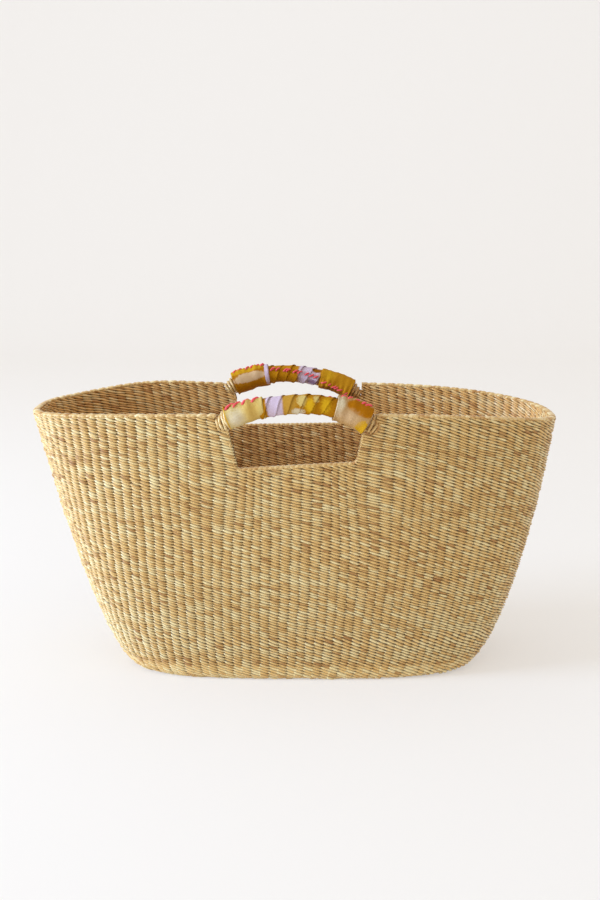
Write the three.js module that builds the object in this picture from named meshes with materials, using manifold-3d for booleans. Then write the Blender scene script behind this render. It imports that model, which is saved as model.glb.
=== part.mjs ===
// Bolga basket: an oval shopper woven from twisted grass, with two cloth-bound handles.
// Millimetres, +Z up, origin at the middle of the underside, long side along X, front towards -Y.

import * as THREE from 'three';
import { mergeVertices } from 'three/addons/utils/BufferGeometryUtils.js';
import Module from 'manifold-3d';

const wasm = await Module();
wasm.setup();

// Driving dimensions: the body
const rimLength = 517;
const rimDepth = 206;
const rimHeight = 262;
const leftEndDrop = 8;
const rightEndDrop = 15;
const rimLean = -7;
const backSwell = 4.5;
const backSwellPlace = -161;
const backSwellReach = 90;
const baseLength = 327;
const baseDepth = 179;
const heelRadius = 15;
const heelHeight = 22;
const wallThickness = 6.4;
const pieceGap = 0.35;

// Driving dimensions: the weave and its stakes
const stakeCount = 128;
const stakeWidth = 4;
const stakeThickness = 1.5;
const stakeRoom = 3.8;
const stakeTwist = 15;
const footHeight = 3.4;
const footEndGap = 1;
const grooveFloor = 8;
const selvedgeWidth = 3;
const borderHeight = 5.6;
const borderProud = 0.6;
const ribRise = 0.6;
const ribGroove = 0.5;
const matRingRise = 1;
const matSpineSetback = 6;

// Driving dimensions: the hand slots
const slotTopWidth = 122.8;
const slotSillWidth = 109;
const sillBorderHeight = 4;
const slotCornerRadius = 5;
const frontSlotShift = -3.5;
const frontSlotDepth = 48.3;
const frontSillRise = 6.2;
const backSlotShift = -10.5;
const backSlotDepth = 43.7;
const backSillRise = 1.5;

// Driving dimensions: the handles
const handleRise = 9.3;
const handleLeftReach = 72;
const handleRightReach = 59;
const frontApexOffset = 8.5;
const frontLeftDrop = 14;
const frontRightDrop = 16.8;
const backApexOffset = -7.5;
const backLeftDrop = 19;
const backRightDrop = 11.9;
const coreRadius = 6.8;
const rootReach = 82;
const tangReach = 104;
const tangHeight = 7.4;
const tangTaper = 2.4;
const tangSetback = 4.5;

// Driving dimensions: the cuffs, from the middle of the slot outwards, with their radii at neck and mouth
const frontLeftCuffStart = 29.5;
const frontLeftCuffEnd = 62.5;
const frontLeftNeckRadius = 9.1;
const frontLeftMouthRadius = 10.4;
const frontRightCuffStart = 37;
const frontRightCuffEnd = 65.5;
const frontRightNeckRadius = 11.4;
const frontRightMouthRadius = 12.9;
const backLeftCuffStart = 26;
const backLeftCuffEnd = 62;
const backLeftNeckRadius = 10.8;
const backLeftMouthRadius = 12.1;
const backRightCuffStart = 30.5;
const backRightCuffEnd = 62.5;
const backRightNeckRadius = 10.6;
const backRightMouthRadius = 11.2;

// Driving dimensions: the wound cloth and the threads
const wrapRadius = 8.3;
const wrapFoldDepth = 0.9;
const wrapFoldPitch = 11;
const lashingDiameter = 2.4;
const lashingPitch = 3.15;
const lashingBend = 1.3;
const threadDiameter = 1.2;
const stitchPitch = 4.4;
const stitchWidth = 4;

// Shapes of the oval, as powers
const lengthFlarePower = 0.57;
const depthFlarePower = 1.6;
const basePlanPower = 3.6;
const rimPlanPower = 2.8;
const rimSagPower = 3;
const rimLeanPower = 2;
const handleArchPower = 2;

// Shares of the sizes above
const endCrowdingShare = 0.15;
const wallLevelShares = [0, 0.16, 0.5, 1];
const heelCurlShare = 0.4;
const longSideShare = 0.75;
const leastSpanShare = 0.25;
const cornerShare = 0.3;
const skippedTurnShare = 0.6;

// Shares of a turn round a handle, counted from its outward side upwards
const lashingEndShare = 0.75;
const frontSeamShares = { left: 0.24, middle: 0.34, right: 0.25 };
const backSeamShares = { left: 0.26, middle: 0.36, right: 0.45 };

// Counts
const columnCount = 64;
const planSamples = 720;
const borderSides = 6;
const sillSpans = 4;
const cornerSegments = 3;
const coreSides = 10;
const coreSpans = 10;
const clothSides = 12;
const wrapRings = 18;
const cuffRings = 2;
const boreRings = 6;
const matRings = 5;
const lashingTurns = 3.75;
const lashingSteps = 10;
const lashingSides = 5;
const threadSides = 4;

// Small steps for slopes, and one overrun for every cut
const slopeStep = 0.5;
const cutOverrun = 12;

const strawMaterial = new THREE.MeshStandardMaterial({ color: 0xcdb37e, roughness: 0.72, metalness: 0 });
const stakeMaterial = new THREE.MeshStandardMaterial({ color: 0xb79a63, roughness: 0.8, metalness: 0 });
const clothMaterial = new THREE.MeshStandardMaterial({ color: 0xcf981c, roughness: 0.85, metalness: 0 });
const threadMaterial = new THREE.MeshStandardMaterial({ color: 0xe0524f, roughness: 0.7, metalness: 0 });

/** Closed surface through loops of equal length; open rows of loops get flat caps. */
function loopSolid(loops, isRing) {
  const perLoop = loops[0].length;
  const positions = loops.flat().flatMap((point) => [point.x, point.y, point.z]);
  const triangles = [];
  const spans = isRing ? loops.length : loops.length - 1;
  for (let row = 0; row < spans; row += 1) {
    const next = (row + 1) % loops.length;
    for (let i = 0; i < perLoop; i += 1) {
      const j = (i + 1) % perLoop;
      const a = row * perLoop + i;
      const b = row * perLoop + j;
      const c = next * perLoop + j;
      const d = next * perLoop + i;
      triangles.push(a, b, c, a, c, d);
    }
  }
  if (!isRing) {
    const last = (loops.length - 1) * perLoop;
    for (let i = 1; i < perLoop - 1; i += 1) {
      triangles.push(0, i + 1, i, last, last + i, last + i + 1);
    }
  }
  const geometry = new THREE.BufferGeometry();
  geometry.setAttribute('position', new THREE.Float32BufferAttribute(positions, 3));
  geometry.setIndex(triangles);
  return facingOut(geometry);
}

/** The same closed surface with its faces turned outwards. */
function facingOut(geometry) {
  const place = geometry.getAttribute('position');
  const order = geometry.getIndex();
  const corners = [new THREE.Vector3(), new THREE.Vector3(), new THREE.Vector3()];
  let volume = 0;
  for (let i = 0; i < order.count; i += 3) {
    corners.forEach((corner, k) => corner.fromBufferAttribute(place, order.getX(i + k)));
    volume += corners[0].dot(corners[1].clone().cross(corners[2]));
  }
  if (volume < 0) {
    for (let i = 0; i < order.count; i += 3) {
      const second = order.getX(i + 1);
      order.setX(i + 1, order.getX(i + 2));
      order.setX(i + 2, second);
    }
  }
  return geometry;
}

/** A three.js geometry as a solid that can be joined and cut. */
function solidOf(geometry) {
  const bare = geometry.clone();
  bare.deleteAttribute('normal');
  bare.deleteAttribute('uv');
  const merged = mergeVertices(bare);
  return new wasm.Manifold(new wasm.Mesh({
    numProp: 3,
    vertProperties: new Float32Array(merged.getAttribute('position').array),
    triVerts: new Uint32Array(merged.getIndex().array),
  }));
}

/** A joined or cut solid as a three.js geometry. */
function geometryOf(solid) {
  const mesh = solid.getMesh();
  const geometry = new THREE.BufferGeometry();
  geometry.setAttribute('position', new THREE.BufferAttribute(mesh.vertProperties, 3));
  geometry.setIndex(new THREE.BufferAttribute(mesh.triVerts, 1));
  return geometry;
}

/** A power that keeps the sign of its base. */
function signedPower(base, power) {
  return Math.sign(base) * Math.abs(base) ** power;
}

/** Middle, half length, half depth and squareness of the outer face at one height. */
function planAt(z) {
  const level = Math.max(z, 0) / rimHeight;
  const cornerDepth = Math.max(heelRadius - z, 0);
  const heelInset = heelRadius - Math.sqrt(heelRadius ** 2 - cornerDepth ** 2);
  return {
    middle: rimLean * level ** rimLeanPower,
    halfLength: (baseLength + (rimLength - baseLength) * level ** lengthFlarePower) / 2 - heelInset,
    halfDepth: (baseDepth + (rimDepth - baseDepth) * level ** depthFlarePower) / 2 - heelInset,
    power: basePlanPower + (rimPlanPower - basePlanPower) * level,
  };
}

const planCurves = new Map();

/** The oval of the outer face at one height: its points and the length run at each. */
function planCurve(z) {
  if (!planCurves.has(z)) {
    const { middle, halfLength, halfDepth, power } = planAt(z);
    const points = [];
    const runs = [0];
    for (let i = 0; i <= planSamples; i += 1) {
      const angle = (i / planSamples) * 2 * Math.PI;
      const x = middle + halfLength * signedPower(Math.cos(angle), 2 / power);
      const y = halfDepth * signedPower(Math.sin(angle), 2 / power);
      points.push(new THREE.Vector2(x, y));
      if (i > 0) runs.push(runs[i - 1] + points[i].distanceTo(points[i - 1]));
    }
    planCurves.set(z, { points, runs, perimeter: runs[planSamples] });
  }
  return planCurves.get(z);
}

/** Where the upright line that starts the given share of the way round stands at one height. */
function planShare(share, z) {
  const level = z / rimHeight;
  const crowding = endCrowdingShare * (1 - level);
  const drift = (stakeTwist * (1 - level)) / planCurve(z).perimeter;
  return share - (crowding * Math.sin(4 * Math.PI * share)) / (4 * Math.PI) - drift;
}

/** A point of the outer face, by the share of the way round and the height. */
function outerPoint(share, z) {
  const { points, runs, perimeter } = planCurve(z);
  const along = THREE.MathUtils.euclideanModulo(planShare(share, z), 1) * perimeter;
  let low = 0;
  let high = planSamples;
  while (high - low > 1) {
    const middle = Math.floor((low + high) / 2);
    if (runs[middle] <= along) low = middle;
    else high = middle;
  }
  const part = (along - runs[low]) / (runs[high] - runs[low]);
  const flat = points[low].clone().lerp(points[high], part);
  return new THREE.Vector3(flat.x, flat.y, z);
}

/** A point inside the wall, at a depth under the outer face, square to it. */
function wallPoint(share, z, depth) {
  const point = outerPoint(share, z);
  if (z <= 0) return point.add(new THREE.Vector3(0, 0, depth));
  const shareStep = slopeStep / planCurve(z).perimeter;
  const around = outerPoint(share + shareStep, z).sub(outerPoint(share - shareStep, z));
  const below = Math.max(z - slopeStep, 0);
  const upward = outerPoint(share, z + slopeStep).sub(outerPoint(share, below));
  const normal = around.cross(upward).normalize();
  return point.addScaledVector(normal, -depth);
}

/** Height of the rim, which dips towards the two ends and swells a little on the left of the back. */
function rimAt(share) {
  const { middle, halfLength } = planAt(rimHeight);
  const point = outerPoint(share, rimHeight);
  const lengthwise = (point.x - middle) / halfLength;
  const endDrop = lengthwise < 0 ? leftEndDrop : rightEndDrop;
  const away = Math.min(Math.abs(point.x - backSwellPlace) / backSwellReach, 1);
  const swell = point.y > 0 ? backSwell * Math.cos((Math.PI / 2) * away) ** 2 : 0;
  return rimHeight - endDrop * Math.abs(lengthwise) ** rimSagPower + swell;
}

const wallFoot = heelHeight + pieceGap;

/** Height of the top of the woven wall under the rim border. */
function wallTop(share) {
  return rimAt(share) - borderHeight - pieceGap;
}

/** Heights of the wall's levels at one column. */
function wallHeights(share) {
  const top = wallTop(share);
  return wallLevelShares.map((level) => wallFoot + (top - wallFoot) * level);
}

/** A closed band of the wall between two depths, one loop a column. */
function wallBand(nearDepth, farDepth, heightsAt) {
  const loops = [];
  for (let column = 0; column < columnCount; column += 1) {
    const share = column / columnCount;
    const heights = heightsAt(share);
    const near = heights.map((z) => wallPoint(share, z, nearDepth));
    const far = heights.map((z) => wallPoint(share, z, farDepth)).reverse();
    loops.push([...near, ...far]);
  }
  return loopSolid(loops, true);
}

/** The ribbed skins of the wall: a crest at every column, and a groove in the middle of every facet. */
function ribbedBand() {
  const crests = [];
  const grooves = [];
  for (let column = 0; column < columnCount; column += 1) {
    const share = column / columnCount;
    const heights = wallHeights(share);
    const pointsAt = (near, far) => [
      ...heights.map((z) => wallPoint(share, z, near)),
      ...heights.map((z) => wallPoint(share, z, far)).reverse(),
    ];
    crests.push(pointsAt(-ribRise, wallThickness + ribRise));
    grooves.push(pointsAt(ribGroove, wallThickness - ribGroove));
  }
  const loops = crests.flatMap((crest, column) => {
    const following = grooves[(column + 1) % columnCount];
    return [crest, grooves[column].map((point, i) => point.clone().lerp(following[i], 1 / 2))];
  });
  return loopSolid(loops, true);
}

/** A point of the faceted wall, between its columns, so that what lies inside stays clear of it. */
function facetPoint(share, z, depth) {
  const column = Math.floor(share * columnCount);
  const part = share * columnCount - column;
  const start = wallPoint(column / columnCount, z, depth);
  const end = wallPoint((column + 1) / columnCount, z, depth);
  return start.lerp(end, part);
}

/** Two shares of the way round, and those of the columns between them. */
function sharesBetween(start, finish) {
  const shares = [start];
  const firstColumn = Math.ceil(start * columnCount + leastSpanShare);
  for (let column = firstColumn; column < finish * columnCount - leastSpanShare; column += 1) {
    shares.push(column / columnCount);
  }
  shares.push(finish);
  return shares;
}

/** How far in front of the middle, or behind it, the outer face stands at a place along the long side. */
function faceDepth(x, z) {
  const { middle, halfLength, halfDepth, power } = planAt(z);
  return halfDepth * (1 - (Math.abs(x - middle) / halfLength) ** power) ** (1 / power);
}

const front = {
  name: 'front',
  side: -1,
  shift: frontSlotShift,
  slotDepth: frontSlotDepth,
  sillRise: frontSillRise,
  apexOffset: frontApexOffset,
  leftDrop: frontLeftDrop,
  rightDrop: frontRightDrop,
  seamShares: frontSeamShares,
  cuffs: {
    left: {
      start: frontLeftCuffStart,
      end: frontLeftCuffEnd,
      neck: frontLeftNeckRadius,
      mouth: frontLeftMouthRadius,
    },
    right: {
      start: frontRightCuffStart,
      end: frontRightCuffEnd,
      neck: frontRightNeckRadius,
      mouth: frontRightMouthRadius,
    },
  },
};
const back = {
  name: 'back',
  side: 1,
  shift: backSlotShift,
  slotDepth: backSlotDepth,
  sillRise: backSillRise,
  apexOffset: backApexOffset,
  leftDrop: backLeftDrop,
  rightDrop: backRightDrop,
  seamShares: backSeamShares,
  cuffs: {
    left: {
      start: backLeftCuffStart,
      end: backLeftCuffEnd,
      neck: backLeftNeckRadius,
      mouth: backLeftMouthRadius,
    },
    right: {
      start: backRightCuffStart,
      end: backRightCuffEnd,
      neck: backRightNeckRadius,
      mouth: backRightMouthRadius,
    },
  },
};
const hands = [front, back];
const ends = [{ name: 'left', end: -1 }, { name: 'right', end: 1 }];

/** Height of a handle's centre line; the place is counted along X from the middle of its slot. */
function handleHeight(place, hand) {
  const isLeft = place < hand.apexOffset;
  const reach = isLeft ? handleLeftReach : handleRightReach;
  const drop = isLeft ? hand.leftDrop : hand.rightDrop;
  const bounded = Math.sign(place) * Math.min(Math.abs(place), rootReach);
  const away = Math.abs(bounded - hand.apexOffset) / reach;
  const slope = (handleArchPower * drop * away ** (handleArchPower - 1)) / reach;
  const beyond = Math.abs(place) - Math.abs(bounded);
  return rimHeight + handleRise - drop * away ** handleArchPower - slope * beyond;
}

/** A point of a handle's centre line. */
function handlePoint(place, hand) {
  const x = hand.shift + place;
  const z = handleHeight(place, hand);
  return new THREE.Vector3(x, hand.side * (faceDepth(x, z) - wallThickness / 2), z);
}

/** The handle's own axes at a place: along it, up from it and out of the basket. */
function handleFrame(place, hand) {
  const along = handlePoint(place + slopeStep, hand).sub(handlePoint(place - slopeStep, hand)).normalize();
  const out = new THREE.Vector3(0, hand.side, 0);
  const up = out.clone().cross(along).multiplyScalar(-hand.side).normalize();
  out.copy(along).cross(up).multiplyScalar(-hand.side);
  return { centre: handlePoint(place, hand), along, up, out: out.normalize() };
}

/** A point round the handle: turn 0 faces out of the basket and a quarter turn faces up. */
function roundHandle(place, hand, turn, radiusOut, radiusUp = radiusOut) {
  const { centre, up, out } = handleFrame(place, hand);
  const angle = turn * 2 * Math.PI;
  return centre
    .addScaledVector(out, radiusOut * Math.cos(angle))
    .addScaledVector(up, radiusUp * Math.sin(angle));
}

/** A round tube through points, with square ends. */
function tubeThrough(points, diameter, sideCount) {
  const loops = [];
  const across = new THREE.Vector3();
  points.forEach((point, i) => {
    const before = points[Math.max(i - 1, 0)];
    const after = points[Math.min(i + 1, points.length - 1)];
    const along = after.clone().sub(before).normalize();
    if (i === 0) {
      const isFlat = Math.abs(along.z) < Math.SQRT1_2;
      across.set(isFlat ? 0 : 1, 0, isFlat ? 1 : 0);
    }
    across.addScaledVector(along, -across.dot(along)).normalize();
    const other = along.clone().cross(across);
    const loop = [];
    for (let k = 0; k < sideCount; k += 1) {
      const angle = (k / sideCount) * 2 * Math.PI;
      loop.push(point.clone()
        .addScaledVector(across, (diameter / 2) * Math.cos(angle))
        .addScaledVector(other, (diameter / 2) * Math.sin(angle)));
    }
    loops.push(loop);
  });
  return loopSolid(loops, false);
}

/** The least gap that a wound strand leaves to itself, measured on its points. */
function leastGap(points, diameter, stepsApart) {
  let least = Infinity;
  points.forEach((point, i) => {
    for (let j = i + stepsApart; j < points.length; j += 1) {
      least = Math.min(least, point.distanceTo(points[j]));
    }
  });
  return least - diameter;
}

/** Height of a slot's finished sill, which rises towards +X. */
function sillHeight(place, hand) {
  return rimHeight - hand.slotDepth + (hand.sillRise * place) / slotSillWidth;
}

/** Height of the wall's shoulder, just under the root of the handle. */
function shoulderHeight(place, hand, end) {
  const cuff = hand.cuffs[end < 0 ? 'left' : 'right'];
  const lashingRadius = coreRadius + pieceGap + lashingDiameter;
  const radius = Math.abs(place) < cuff.end ? cuff.mouth : lashingRadius;
  const ahead = handleHeight(place + end * slopeStep, hand);
  const slope = (ahead - handleHeight(place - end * slopeStep, hand)) / (2 * slopeStep);
  return handleHeight(place, hand) - (radius + pieceGap) * Math.hypot(1, slope);
}

/** Outline of the gap that a hand slot and the roots of its handle leave in the wall. */
function handGapShape(hand) {
  const shape = new THREE.Shape();
  const top = rimHeight + cutOverrun;
  const sillCut = sillBorderHeight + pieceGap;
  const halfTop = slotTopWidth / 2;
  const halfSill = slotSillWidth / 2;
  const floorAt = (place) => sillHeight(place, hand) - sillCut;
  shape.moveTo(-rootReach, top);
  shape.lineTo(-rootReach, shoulderHeight(-rootReach, hand, -1));
  shape.lineTo(-halfTop, shoulderHeight(-halfTop, hand, -1));
  shape.lineTo(-halfSill, floorAt(-halfSill) + slotCornerRadius);
  shape.quadraticCurveTo(
    -halfSill, floorAt(-halfSill),
    -halfSill + slotCornerRadius, floorAt(-halfSill + slotCornerRadius),
  );
  shape.lineTo(halfSill - slotCornerRadius, floorAt(halfSill - slotCornerRadius));
  shape.quadraticCurveTo(halfSill, floorAt(halfSill), halfSill, floorAt(halfSill) + slotCornerRadius);
  shape.lineTo(halfTop, shoulderHeight(halfTop, hand, 1));
  shape.lineTo(rootReach, shoulderHeight(rootReach, hand, 1));
  shape.lineTo(rootReach, top);
  return shape;
}

/** Outline of the solid selvedge kept round a hand slot, where the weft turns back. */
function selvedgeShape(hand) {
  const shape = new THREE.Shape();
  const top = rimHeight + 2 * cutOverrun;
  const halfTop = slotTopWidth / 2 + selvedgeWidth;
  const halfSill = slotSillWidth / 2 + selvedgeWidth;
  const sillCut = sillBorderHeight + pieceGap + selvedgeWidth;
  shape.moveTo(-halfTop, top);
  shape.lineTo(-halfSill, sillHeight(-halfSill, hand) - sillCut);
  shape.lineTo(halfSill, sillHeight(halfSill, hand) - sillCut);
  shape.lineTo(halfTop, top);
  return shape;
}

/** An upright outline, drawn about the middle of a slot, pushed through its wall. */
function throughWall(shape, hand) {
  const reach = rimDepth / 2 + cutOverrun;
  const settings = { depth: reach, bevelEnabled: false, curveSegments: cornerSegments };
  const geometry = new THREE.ExtrudeGeometry(shape, settings);
  geometry.rotateX(Math.PI / 2);
  geometry.translate(hand.shift, hand.side > 0 ? reach : 0, 0);
  return solidOf(geometry);
}

/** Places from one to another, an even step apart. */
function evenPlaces(from, to, count) {
  return Array.from({ length: count + 1 }, (_, i) => from + ((to - from) * i) / count);
}

const weftThickness = (wallThickness - stakeRoom) / 2;
const footTop = grooveFloor + pieceGap + footHeight;

/** Oval mat that the basket stands on: flat below, and twined in rings round a straight middle above. */
function baseMat() {
  const edge = [];
  for (let column = 0; column < columnCount; column += 1) {
    const before = outerPoint((column - 1) / columnCount, 0);
    const after = outerPoint((column + 1) / columnCount, 0);
    const outward = after.sub(before).cross(new THREE.Vector3(0, 0, 1)).normalize();
    edge.push(outerPoint(column / columnCount, 0).addScaledVector(outward, -pieceGap));
  }
  const { halfLength, halfDepth } = planAt(0);
  const spineReach = halfLength - halfDepth - matSpineSetback;
  const loops = [edge];
  for (let step = 2 * matRings; step > 0; step -= 1) {
    const z = wallThickness - (step % 2 ? matRingRise : 0);
    loops.push(edge.map((point) => {
      const spine = new THREE.Vector3(THREE.MathUtils.clamp(point.x, -spineReach, spineReach), 0, 0);
      return spine.lerp(point, step / (2 * matRings)).setZ(z);
    }));
  }
  return loopSolid(loops, false);
}

/** Turned-up band of heavier rows, with a groove along its top for the feet of the stakes. */
function heelBand() {
  const grooveNear = weftThickness;
  const grooveFar = weftThickness + stakeRoom;
  const grooveHeights = [grooveFloor, footTop, heelHeight];
  const outerHeights = [0, grooveFloor * heelCurlShare, footTop, heelHeight];
  const innerHeights = [0, footTop, heelHeight];
  const loops = [];
  for (let column = 0; column < columnCount; column += 1) {
    const share = column / columnCount;
    loops.push([
      ...outerHeights.map((z) => wallPoint(share, z, 0)),
      ...grooveHeights.map((z) => wallPoint(share, z, grooveNear)).reverse(),
      ...grooveHeights.map((z) => wallPoint(share, z, grooveFar)),
      ...innerHeights.map((z) => wallPoint(share, z, wallThickness)).reverse(),
    ]);
  }
  return loopSolid(loops, true);
}

/** The woven wall: two layers of weft with room for the stakes between, closed round the slots. */
function wallWeave() {
  let wall = solidOf(ribbedBand());
  const roomHeights = (share) => {
    const heights = wallHeights(share);
    return [wallFoot - cutOverrun, ...heights, heights[heights.length - 1] + cutOverrun];
  };
  let room = solidOf(wallBand(weftThickness, weftThickness + stakeRoom, roomHeights));
  for (const hand of hands) {
    room = room.subtract(throughWall(selvedgeShape(hand), hand));
    wall = wall.subtract(throughWall(handGapShape(hand), hand));
  }
  return geometryOf(wall.subtract(room));
}

/** Highest point that a stake may reach, by where it stands. */
function stakeTop(share) {
  const top = wallTop(share);
  const atTop = outerPoint(share, rimHeight);
  const hand = atTop.y < 0 ? front : back;
  const atSill = outerPoint(share, rimHeight - hand.slotDepth);
  const isLongSide = Math.abs(atTop.y) > (rimDepth / 2) * longSideShare;
  const place = atTop.x - hand.shift;
  const near = Math.min(Math.abs(place), Math.abs(atSill.x - hand.shift)) - stakeWidth;
  if (!isLongSide || near > tangReach + pieceGap) return top;
  const slotLimit = slotTopWidth / 2 + selvedgeWidth;
  if (near < slotLimit) {
    const lowestSill = Math.min(sillHeight(-slotLimit, hand), sillHeight(place, hand));
    return lowestSill - sillBorderHeight - 2 * selvedgeWidth;
  }
  const lowestTang = handleHeight(Math.sign(place) * tangReach, hand) - tangHeight;
  return lowestTang - selvedgeWidth;
}

/** One quarter of the stakes, standing on the strip that ties their feet inside the heel. */
function stakeCage(quarter) {
  const perCage = stakeCount / 4;
  const nearDepth = (wallThickness - stakeThickness) / 2;
  const farDepth = nearDepth + stakeThickness;
  const foot = grooveFloor + pieceGap;
  const first = quarter * perCage;
  const gapShare = footEndGap / planCurve(foot).perimeter;
  const footStart = first / stakeCount + gapShare;
  const footFinish = (first + perCage) / stakeCount - gapShare;
  const footLoops = sharesBetween(footStart, footFinish).map((share) => [
    facetPoint(share, foot, nearDepth),
    facetPoint(share, footTop, nearDepth),
    facetPoint(share, footTop, farDepth),
    facetPoint(share, foot, farDepth),
  ]);
  let cage = solidOf(loopSolid(footLoops, false));
  for (let i = 0; i < perCage; i += 1) {
    const share = (first + i + 1 / 2) / stakeCount;
    const top = stakeTop(share);
    const heights = [foot + footHeight / 2, ...wallHeights(share).filter((z) => z < top - stakeWidth), top];
    const loops = heights.map((z, level) => {
      const halfShare = stakeWidth / 2 / planCurve(z).perimeter;
      const tuck = level === 0 ? stakeThickness / 4 : 0;
      return [
        facetPoint(share - halfShare, z, nearDepth + tuck),
        facetPoint(share + halfShare, z, nearDepth + tuck),
        facetPoint(share, z, farDepth - tuck),
      ];
    });
    cage = cage.add(solidOf(loopSolid(loops, false)));
  }
  return geometryOf(cage);
}

/** The share of the way round at which the rim passes a place on a long side. */
function rimShareAt(x, side) {
  let low = side > 0 ? 0 : 0.5;
  let high = low + 0.5;
  const rising = side < 0;
  for (let i = 0; i < planSamples; i += 1) {
    const middle = (low + high) / 2;
    const passed = rising ? outerPoint(middle, rimHeight).x > x : outerPoint(middle, rimHeight).x < x;
    if (passed) high = middle;
    else low = middle;
  }
  return low;
}

/** Section of a border: a flattened round, set by depth in the wall and height above a line. */
function borderLoop(share, foot, height) {
  const loop = [];
  for (let k = 0; k < borderSides; k += 1) {
    const angle = ((k + 1 / 2) / borderSides) * 2 * Math.PI;
    const depth = wallThickness / 2 + (wallThickness / 2 + borderProud) * Math.cos(angle);
    const fit = height / 2 / Math.sin(((Math.floor(borderSides / 4) + 1 / 2) / borderSides) * 2 * Math.PI);
    const z = foot + height / 2 + Math.max(Math.min(fit * Math.sin(angle), height / 2), -height / 2);
    loop.push(wallPoint(share, z, depth));
  }
  return loop;
}

/** Border that finishes the rim round one end of the basket, from handle root to handle root. */
function rimBorder(end) {
  const reach = rootReach + 2 * pieceGap;
  const frontShare = rimShareAt(front.shift + end * reach, -1);
  const backShare = rimShareAt(back.shift + end * reach, 1);
  const start = end > 0 ? frontShare - 1 : backShare;
  const finish = end > 0 ? backShare : frontShare;
  const shares = sharesBetween(start, finish);
  const loops = shares.map((share) => borderLoop(share, rimAt(share) - borderHeight, borderHeight));
  return loopSolid(loops, false);
}

/** Border that finishes the sill of one hand slot. */
function slotSill(hand) {
  const reach = slotSillWidth / 2 - slotCornerRadius;
  const loops = [];
  for (let i = 0; i <= sillSpans; i += 1) {
    const place = reach * ((2 * i) / sillSpans - 1);
    const x = hand.shift + place;
    const foot = sillHeight(place, hand) - sillBorderHeight;
    const loop = [];
    for (let k = 0; k < borderSides; k += 1) {
      const angle = ((k + 1 / 2) / borderSides) * 2 * Math.PI;
      const inset = wallThickness / 2 + (wallThickness / 2) * Math.cos(angle);
      const lift = (sillBorderHeight / 2) * (1 + Math.sin(angle));
      loop.push(new THREE.Vector3(x, hand.side * (faceDepth(x, foot) - inset), foot + lift));
    }
    loops.push(loop);
  }
  return loopSolid(loops, false);
}

/** Grass rope inside a handle; past each root it thins to a flat tang that runs into the wall. */
function handleCore(hand) {
  const tangThickness = stakeThickness / 2;
  const ropeReach = rootReach - tangSetback - tangTaper;
  const ropePlaces = evenPlaces(-ropeReach, ropeReach, coreSpans);
  const stations = ropePlaces.map((place) => ({ place, out: coreRadius, up: coreRadius }));
  for (const { end } of ends) {
    const atRoot = { place: end * (rootReach - tangSetback), out: tangThickness, up: tangHeight / 2 };
    const atTip = { place: end * (tangReach - pieceGap), out: tangThickness, up: tangHeight / 2 - tangTaper };
    if (end < 0) stations.unshift(atTip, atRoot);
    else stations.push(atRoot, atTip);
  }
  const loops = stations.map(({ place, out, up }) => {
    const loop = [];
    for (let k = 0; k < coreSides; k += 1) loop.push(roundHandle(place, hand, k / coreSides, out, up));
    return loop;
  });
  return loopSolid(loops, false);
}

/** A sleeve round the handle, with its own radius at each place and turn. */
function handleSleeve(hand, places, radiusAt) {
  const bore = coreRadius + pieceGap;
  const ringAt = (place, radius) => Array.from({ length: clothSides }, (_, k) => (
    roundHandle(place, hand, k / clothSides, radius(place, k / clothSides))
  ));
  const boreCorner = () => bore / Math.cos(Math.PI / clothSides);
  const outer = places.map((place) => ringAt(place, radiusAt));
  const stride = Math.ceil(places.length / boreRings);
  const innerPlaces = places.filter((place, i) => i % stride === 0 || i === places.length - 1).reverse();
  const inner = innerPlaces.map((place) => ringAt(place, boreCorner));
  return loopSolid([...outer, ...inner], true);
}

/** Radius of the wound cloth in the middle of a handle, with a fold at every turn. */
function wrapRadiusAt(place, hand, turn) {
  const phase = THREE.MathUtils.euclideanModulo(place / wrapFoldPitch + hand.side * turn, 1);
  return wrapRadius + wrapFoldDepth * phase;
}

/** Radius of a cuff, which swells from its neck to its mouth at the root of the handle. */
function cuffRadiusAt(place, cuff) {
  const part = (Math.abs(place) - cuff.start) / (cuff.end - cuff.start);
  return cuff.neck + (cuff.mouth - cuff.neck) * part;
}

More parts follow.
